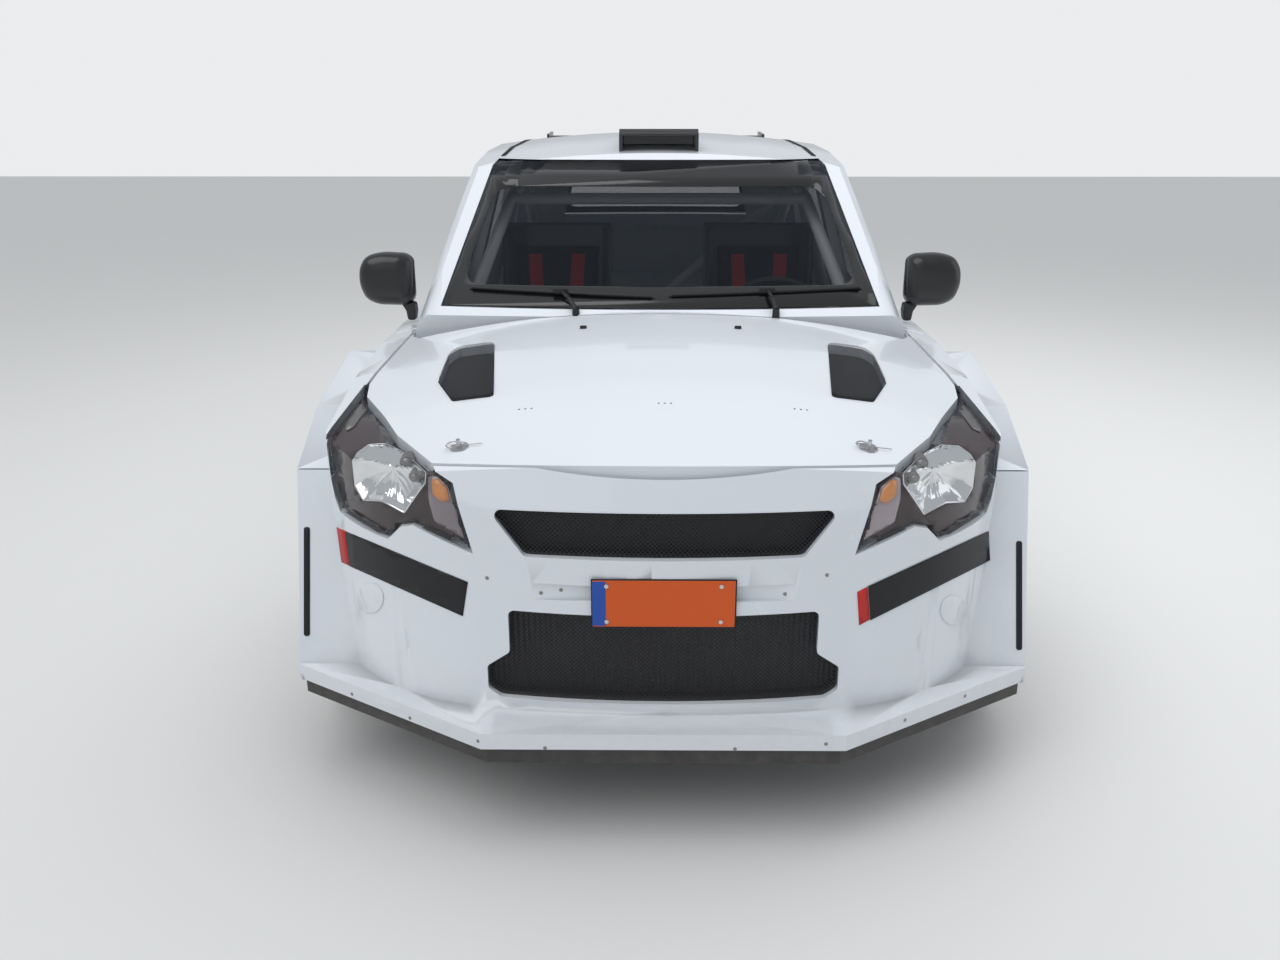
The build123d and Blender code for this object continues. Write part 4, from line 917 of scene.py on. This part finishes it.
for side, turn in (("left", 1), ("right", -1)):
    sideX = turn * seatSettings["middle"]
    columns, rows = seatSettings["columns"], seatSettings["rows"]
    for label, (start, end, wide, thickness, channels) in seatSettings["pads"].items():
        middle, along, up, half = padFrame(sideX, start, end)
        bm = bmesh.new()
        for top in (True, False):
            sheet = []
            for i in range(rows + 1):
                v = math.sin((i / rows - 0.5) * math.pi)
                line = []
                for k in range(columns + 1):
                    u = math.sin((k / columns - 0.5) * math.pi)
                    pull = 1 - 0.03 * (1 - abs(v)) if abs(u) > 0.9 else 1.0
                    rise = padHeight(u, v, thickness, channels) if top else 0.0
                    line.append(bm.verts.new(
                        middle + acrossCar * u * pull * wide / 2 + along * v * half + up * rise))
                sheet.append(line)
            for i in range(rows):
                for k in range(columns):
                    bm.faces.new((sheet[i][k], sheet[i][k + 1], sheet[i + 1][k + 1], sheet[i + 1][k]))
        bmesh.ops.remove_doubles(bm, verts=bm.verts, dist=0.0004)
        bmesh.ops.recalc_face_normals(bm, faces=bm.faces)
        pad = finishPiece(bm, f"seat_{side}_{label}_pad", "seatCloth", "root", 60)
print("seat pads made")


def addStrap(bm, path, across):
    # flat webbing along a path, closed at both ends
    wide, thick = seatSettings["strap"]
    sections = []
    for i, spot in enumerate(path):
        run = (path[min(i + 1, len(path) - 1)] - path[max(i - 1, 0)]).normalized()
        side = (across - run * across.dot(run)).normalized() * wide / 2
        up = run.cross(side).normalized() * thick / 2
        sections.append([bm.verts.new(spot + offset) for offset in (side + up, up - side, -side - up, side - up)])
    joinRings(bm, sections)


def onPad(label, sideX, offset, v):
    # a point just above a pad's crown, offset sideways, at share v of its length
    start, end, wide, thickness, channels = seatSettings["pads"][label]
    middle, along, up, half = padFrame(sideX, start, end)
    rise = padHeight(offset / (wide / 2), v, thickness, ()) + seatSettings["offPad"]
    return middle + acrossCar * offset + along * v * half + up * rise


for side, turn in (("left", 1), ("right", -1)):
    sideX = turn * seatSettings["middle"]
    bm = bmesh.new()
    buckle = onPad("cushion", sideX, 0.0, seatSettings["buckle"][0]) + upward * seatSettings["buckle"][1]
    for lean in (-1, 1):
        shoulderEnd, lapEnd = [buckle + Vector((lean * x, y, z))
                               for x, y, z in (seatSettings["shoulderEnd"], seatSettings["lapEnd"])]
        upper = [onPad("back", sideX, lean * (seatSettings["apart"] + seatSettings["spread"] * v), v)
                 for v in seatSettings["shoulder"]]
        addStrap(bm, upper + [shoulderEnd], acrossCar)
        lap = [onPad("cushion", sideX, lean * offset, v) + upward * lift for offset, v, lift in seatSettings["lap"]]
        addStrap(bm, lap + [lapEnd], Vector((0, -0.5, 1)))
    fixNormals(bm)
    finishPiece(bm, f"harness_{side}", "harness", "root", 60)
    bm = bmesh.new()
    start, end = [buckle + Vector(offset) for offset in seatSettings["buckleRod"]]
    addRod(bm, start, end, seatSettings["buckleRadii"][0], 32, seatSettings["buckleRadii"][1])
    soften(finishPiece(bm, f"harness_buckle_{side}", "castSteel", "root", 40), 0.003)
print("harnesses made")

# Door handles: painted bars near each door's rear edge, each over a black sheet that paints the shade of the handle's
# recess
handleSettings = {
    "height": 838, "long": 0.150, "fromEdge": 0.055, "deep": 0.009,
    # the bar's sections: share of its length, how far they stand off the door, half height
    "sections": ((0.0, 0.002, 0.006), (0.06, 0.010, 0.0085), (0.2, 0.019, 0.0085), (0.5, 0.023, 0.0085),
                 (0.8, 0.019, 0.0085), (0.94, 0.010, 0.0085), (1.0, 0.002, 0.006)),
    # the cup's ends inside the bar's, and its edges below and above its middle
    "cupEnds": (0.02, 0.03), "cupHigh": (-24, 20), "cupRounding": 14, "cupLift": 0.0005, "cupThick": 0.0006,
}
height = handleSettings["height"]
for label in ("front", "rear"):
    node = f"door_{label}_left"
    doorTree = carrierTree((node,))
    reach = [y for y in range(1500, 2900, 10) if doorTree.ray_cast(*sideRay(y, height))[0] is not None]
    last = max(reach) / 1000 - handleSettings["fromEdge"]
    first = last - handleSettings["long"]
    ends = [doorTree.ray_cast(*sideRay(y * 1000, height))[0] for y in (first, last)]
    cupFirst, cupLast = (first + handleSettings["cupEnds"][0]) * 1000, (last - handleSettings["cupEnds"][1]) * 1000
    cupLow, cupTop = [height + edge for edge in handleSettings["cupHigh"]]
    for side, turn in (("left", 1), ("right", -1)):
        bm = bmesh.new()
        sections = []
        for share, lift, tall in handleSettings["sections"]:
            spot = ends[0].lerp(ends[1], share)
            inner = lift - handleSettings["deep"]
            sections.append([bm.verts.new((turn * (spot.x + depth), spot.y, spot.z + rise)) for depth, rise in (
                (lift, tall), (inner, tall * 1.2), (inner, -tall * 1.2), (lift, -tall))])
        joinRings(bm, sections)
        fixNormals(bm)
        soften(finishPiece(bm, f"door_handle_{label}_{side}", "paint", f"door_{label}_{side}", 50), 0.003, 3)
    # the recess is not cut into the door: a black sheet laid on the door paints its shade
    leftRecessShade = laySheet(f"door_handle_recess_shade_{label}_left", "blackPlastic",
                       [(cupFirst, cupLow), (cupLast, cupLow), (cupLast, cupTop), (cupFirst, cupTop)], sideRay,
                       (node,), 40, node, facing=(1, 0, 0), rounding=handleSettings["cupRounding"],
                       lift=handleSettings["cupLift"], thickness=handleSettings["cupThick"])
    bm = bmesh.new()
    bm.from_mesh(leftRecessShade.data)
    bmesh.ops.scale(bm, verts=bm.verts, vec=(-1, 1, 1))
    bmesh.ops.reverse_faces(bm, faces=bm.faces)
    thicken(finishPiece(bm, f"door_handle_recess_shade_{label}_right", "blackPlastic", f"door_{label}_right"), handleSettings["cupThick"], 1)
print("handles made")

# Wheels: CAD rims with steel discs, nuts and a cap, and tyres with a cut tread
wheelSettings = {
    # the brake disc's faces: further in than this along the axle, closer than this to it
    "discInside": -0.03, "discReach": 0.152, "bevel": 0.0025,
    "nuts": 5, "nutCircle": 0.042,
    # start and end outside the wheel's middle, the radius at each, sides
    "nutParts": ((0.062, 0.079, 0.0095, 0.009, 6), (0.070, 0.0805, 0.0075, 0.006, 16)),
    "cap": (0.079, 0.0815, 0.028, 0.024, 40),
}
tyreSettings = {
    "section": [(-0.100, 0.2285), (-0.108, 0.245), (-0.1108, 0.275), (-0.109, 0.298), (-0.101, 0.312),
                (-0.088, 0.3185), (-0.03, 0.320), (0.03, 0.320), (0.088, 0.3185), (0.101, 0.312), (0.109, 0.298),
                (0.1108, 0.275), (0.108, 0.245), (0.100, 0.2285), (0.085, 0.236), (-0.085, 0.236)],
    # each row of blocks: its edges along the axle, its shift round the tyre, and how much lower it is
    "rows": ((-0.092, -0.058, 0.5, 0.0012), (-0.052, -0.019, 0.0, 0.0), (-0.013, 0.013, 0.5, 0.0),
             (0.019, 0.052, 0.0, 0.0), (0.058, 0.092, 0.5, 0.0012)),
    "low": 0.3165, "high": 0.3249, "count": 60, "bars": 0.66, "slant": 0.006, "steps": 120,
    "ribReach": (0.262, 0.289), "ribAlong": 0.1096, "rib": 0.0014,
}


def addStub(bm, middle, turn, y, z, part):
    # a short rod along the axle, outside the wheel's middle
    start, end, radius, endRadius, sides = part
    addRod(bm, (middle.x + turn * start, y, z), (middle.x + turn * end, y, z), radius, sides, endRadius)


for place, axleY in (("front", frontAxle), ("rear", rearAxle)):
    for side, turn in (("left", 1), ("right", -1)):
        wheel, tyre = f"wheel_{place}_{side}", f"tyre_{place}_{side}"
        body = bodyOf[wheel]
        middle = Vector((turn * trackHalf, axleY, wheelHeight))
        bm = bmesh.new()
        bm.from_mesh(nodes[wheel].data)
        bmesh.ops.remove_doubles(bm, verts=bm.verts, dist=0.00002)
        for face in bm.faces:
            spot = face.calc_center_median() - middle
            reach = math.hypot(spot.y, spot.z)
            if spot.x * turn < wheelSettings["discInside"] and reach < wheelSettings["discReach"]:
                face.material_index = 1
        rimPiece = finishPiece(bm, f"{wheel}_rim", ("rim", "castSteel"), body, 30, (wheel,))
        soften(rimPiece, wheelSettings["bevel"], 2, 35)
        bm = bmesh.new()
        for i in range(wheelSettings["nuts"]):
            angle = math.tau * (i + 0.25) / wheelSettings["nuts"]
            y = middle.y + wheelSettings["nutCircle"] * math.cos(angle)
            z = middle.z + wheelSettings["nutCircle"] * math.sin(angle)
            for part in wheelSettings["nutParts"]:
                addStub(bm, middle, turn, y, z, part)
        addStub(bm, middle, turn, middle.y, middle.z, wheelSettings["cap"])
        soften(finishPiece(bm, f"{wheel}_nuts", "steel", body, 40), 0.0008)
        bm = bmesh.new()
        spinProfile(bm, tyreSettings["section"], middle, tyreSettings["steps"])
        fixNormals(bm)
        wide = math.tau * tyreSettings["high"] / tyreSettings["count"] * tyreSettings["bars"] / 2
        for low, high, shift, lower in tyreSettings["rows"]:
            slant = tyreSettings["slant"] * (1 if low > 0 else -1 if high < 0 else 0)
            for i in range(tyreSettings["count"]):
                angle = math.tau * (i + shift) / tyreSettings["count"]
                verts = addBox(bm, (low, -wide, tyreSettings["low"]), (high, wide, tyreSettings["high"] - lower))
                for vert in verts:
                    vert.co.y += slant * (1 if vert.co.x * turn > (low + high) / 2 * turn else -1)
                turned = Matrix.Translation(middle) @ Matrix.Rotation(angle, 4, "X")
                bmesh.ops.transform(bm, verts=verts, matrix=turned)
        for reach in tyreSettings["ribReach"]:
            for along in (-tyreSettings["ribAlong"], tyreSettings["ribAlong"]):
                addRing(bm, middle + acrossCar * along, acrossCar, reach, tyreSettings["rib"], 96, 6)
        finishPiece(bm, f"{tyre}_tread", "tyre", body, 28, (tyre,))
print("wheels made")

# Camera where the photograph was taken
camera = addObject("PhotoCamera", bpy.data.cameras.new("PhotoCamera"))
camera.data.sensor_width = 36
camera.data.lens = 36 * photo["focal"] / photo["wide"]
camera.location = photo["place"]
camera.rotation_euler = photoAngles
bpy.context.scene.camera = camera

# Floor, world and soft lamps
floorMaterial, tree, shader = startMaterial("PaleFloor")
feed(tree, shader, {"Base Color": (0.74, 0.74, 0.73, 1), "Roughness": 0.75})
bm = bmesh.new()
bmesh.ops.create_grid(bm, x_segments=1, y_segments=1, size=30)
floorMesh = bpy.data.meshes.new("StudioFloor")
bm.to_mesh(floorMesh)
bm.free()
floorMesh.materials.append(floorMaterial)
studioFloor = addObject("StudioFloor", floorMesh)

# the world lights the car with its sky and shows the camera a paler wall
world = bpy.data.worlds.new("StudioWorld")
bpy.context.scene.world = world
world.use_nodes = True
tree = world.node_tree
sky = feed(tree, tree.nodes["Background"], {"Color": (0.86, 0.9, 0.95, 1), "Strength": 0.48})[0]
wall = feed(tree, tree.nodes.new("ShaderNodeBackground"), {"Color": (0.83, 0.84, 0.85, 1)})[0]
seen = tree.nodes.new("ShaderNodeLightPath").outputs["Is Camera Ray"]
choose = feed(tree, tree.nodes.new("ShaderNodeMixShader"), {0: seen, 1: sky, 2: wall})[0]
feed(tree, tree.nodes["World Output"], {"Surface": choose})


def aimAt(thing, place, target):
    # a lamp shines along its own -Z
    thing.rotation_euler = (Vector(target) - Vector(place)).to_track_quat("-Z", "Y").to_euler()


lamps = (
    # name, place, size, power, colour
    ("OverheadSoftbox", (0.6, 0.4, 4.6), (5.5, 6.5), 150, (1.0, 1.0, 1.0)),
    ("FrontFill", (-2.6, -6.5, 3.2), (4.0, 3.0), 10, (1.0, 0.98, 0.95)),
    ("SideFill", (6.0, -1.0, 2.8), (3.0, 5.0), 30, (0.92, 0.96, 1.0)),
)
for name, place, (wide, deep), power, colour in lamps:
    light = bpy.data.lights.new(name, "AREA")
    light.shape = "RECTANGLE"
    light.size = wide
    light.size_y = deep
    light.energy = power
    light.color = colour
    lamp = addObject(name, light)
    lamp.visible_glossy = name != "OverheadSoftbox"
    lamp.location = place
    aimAt(lamp, place, (0, -0.3, 0.5))

sunSettings = {"from": (-3.0, -2.6, 6.0), "power": 0.95, "spread": 50}
sunLight = bpy.data.lights.new("HazySun", "SUN")
sunLight.energy = sunSettings["power"]
sunLight.angle = math.radians(sunSettings["spread"])
aimAt(addObject("HazySun", sunLight), sunSettings["from"], (0, 0, 0))

bpy.context.scene.view_settings.view_transform = "Standard"
print("scene made")
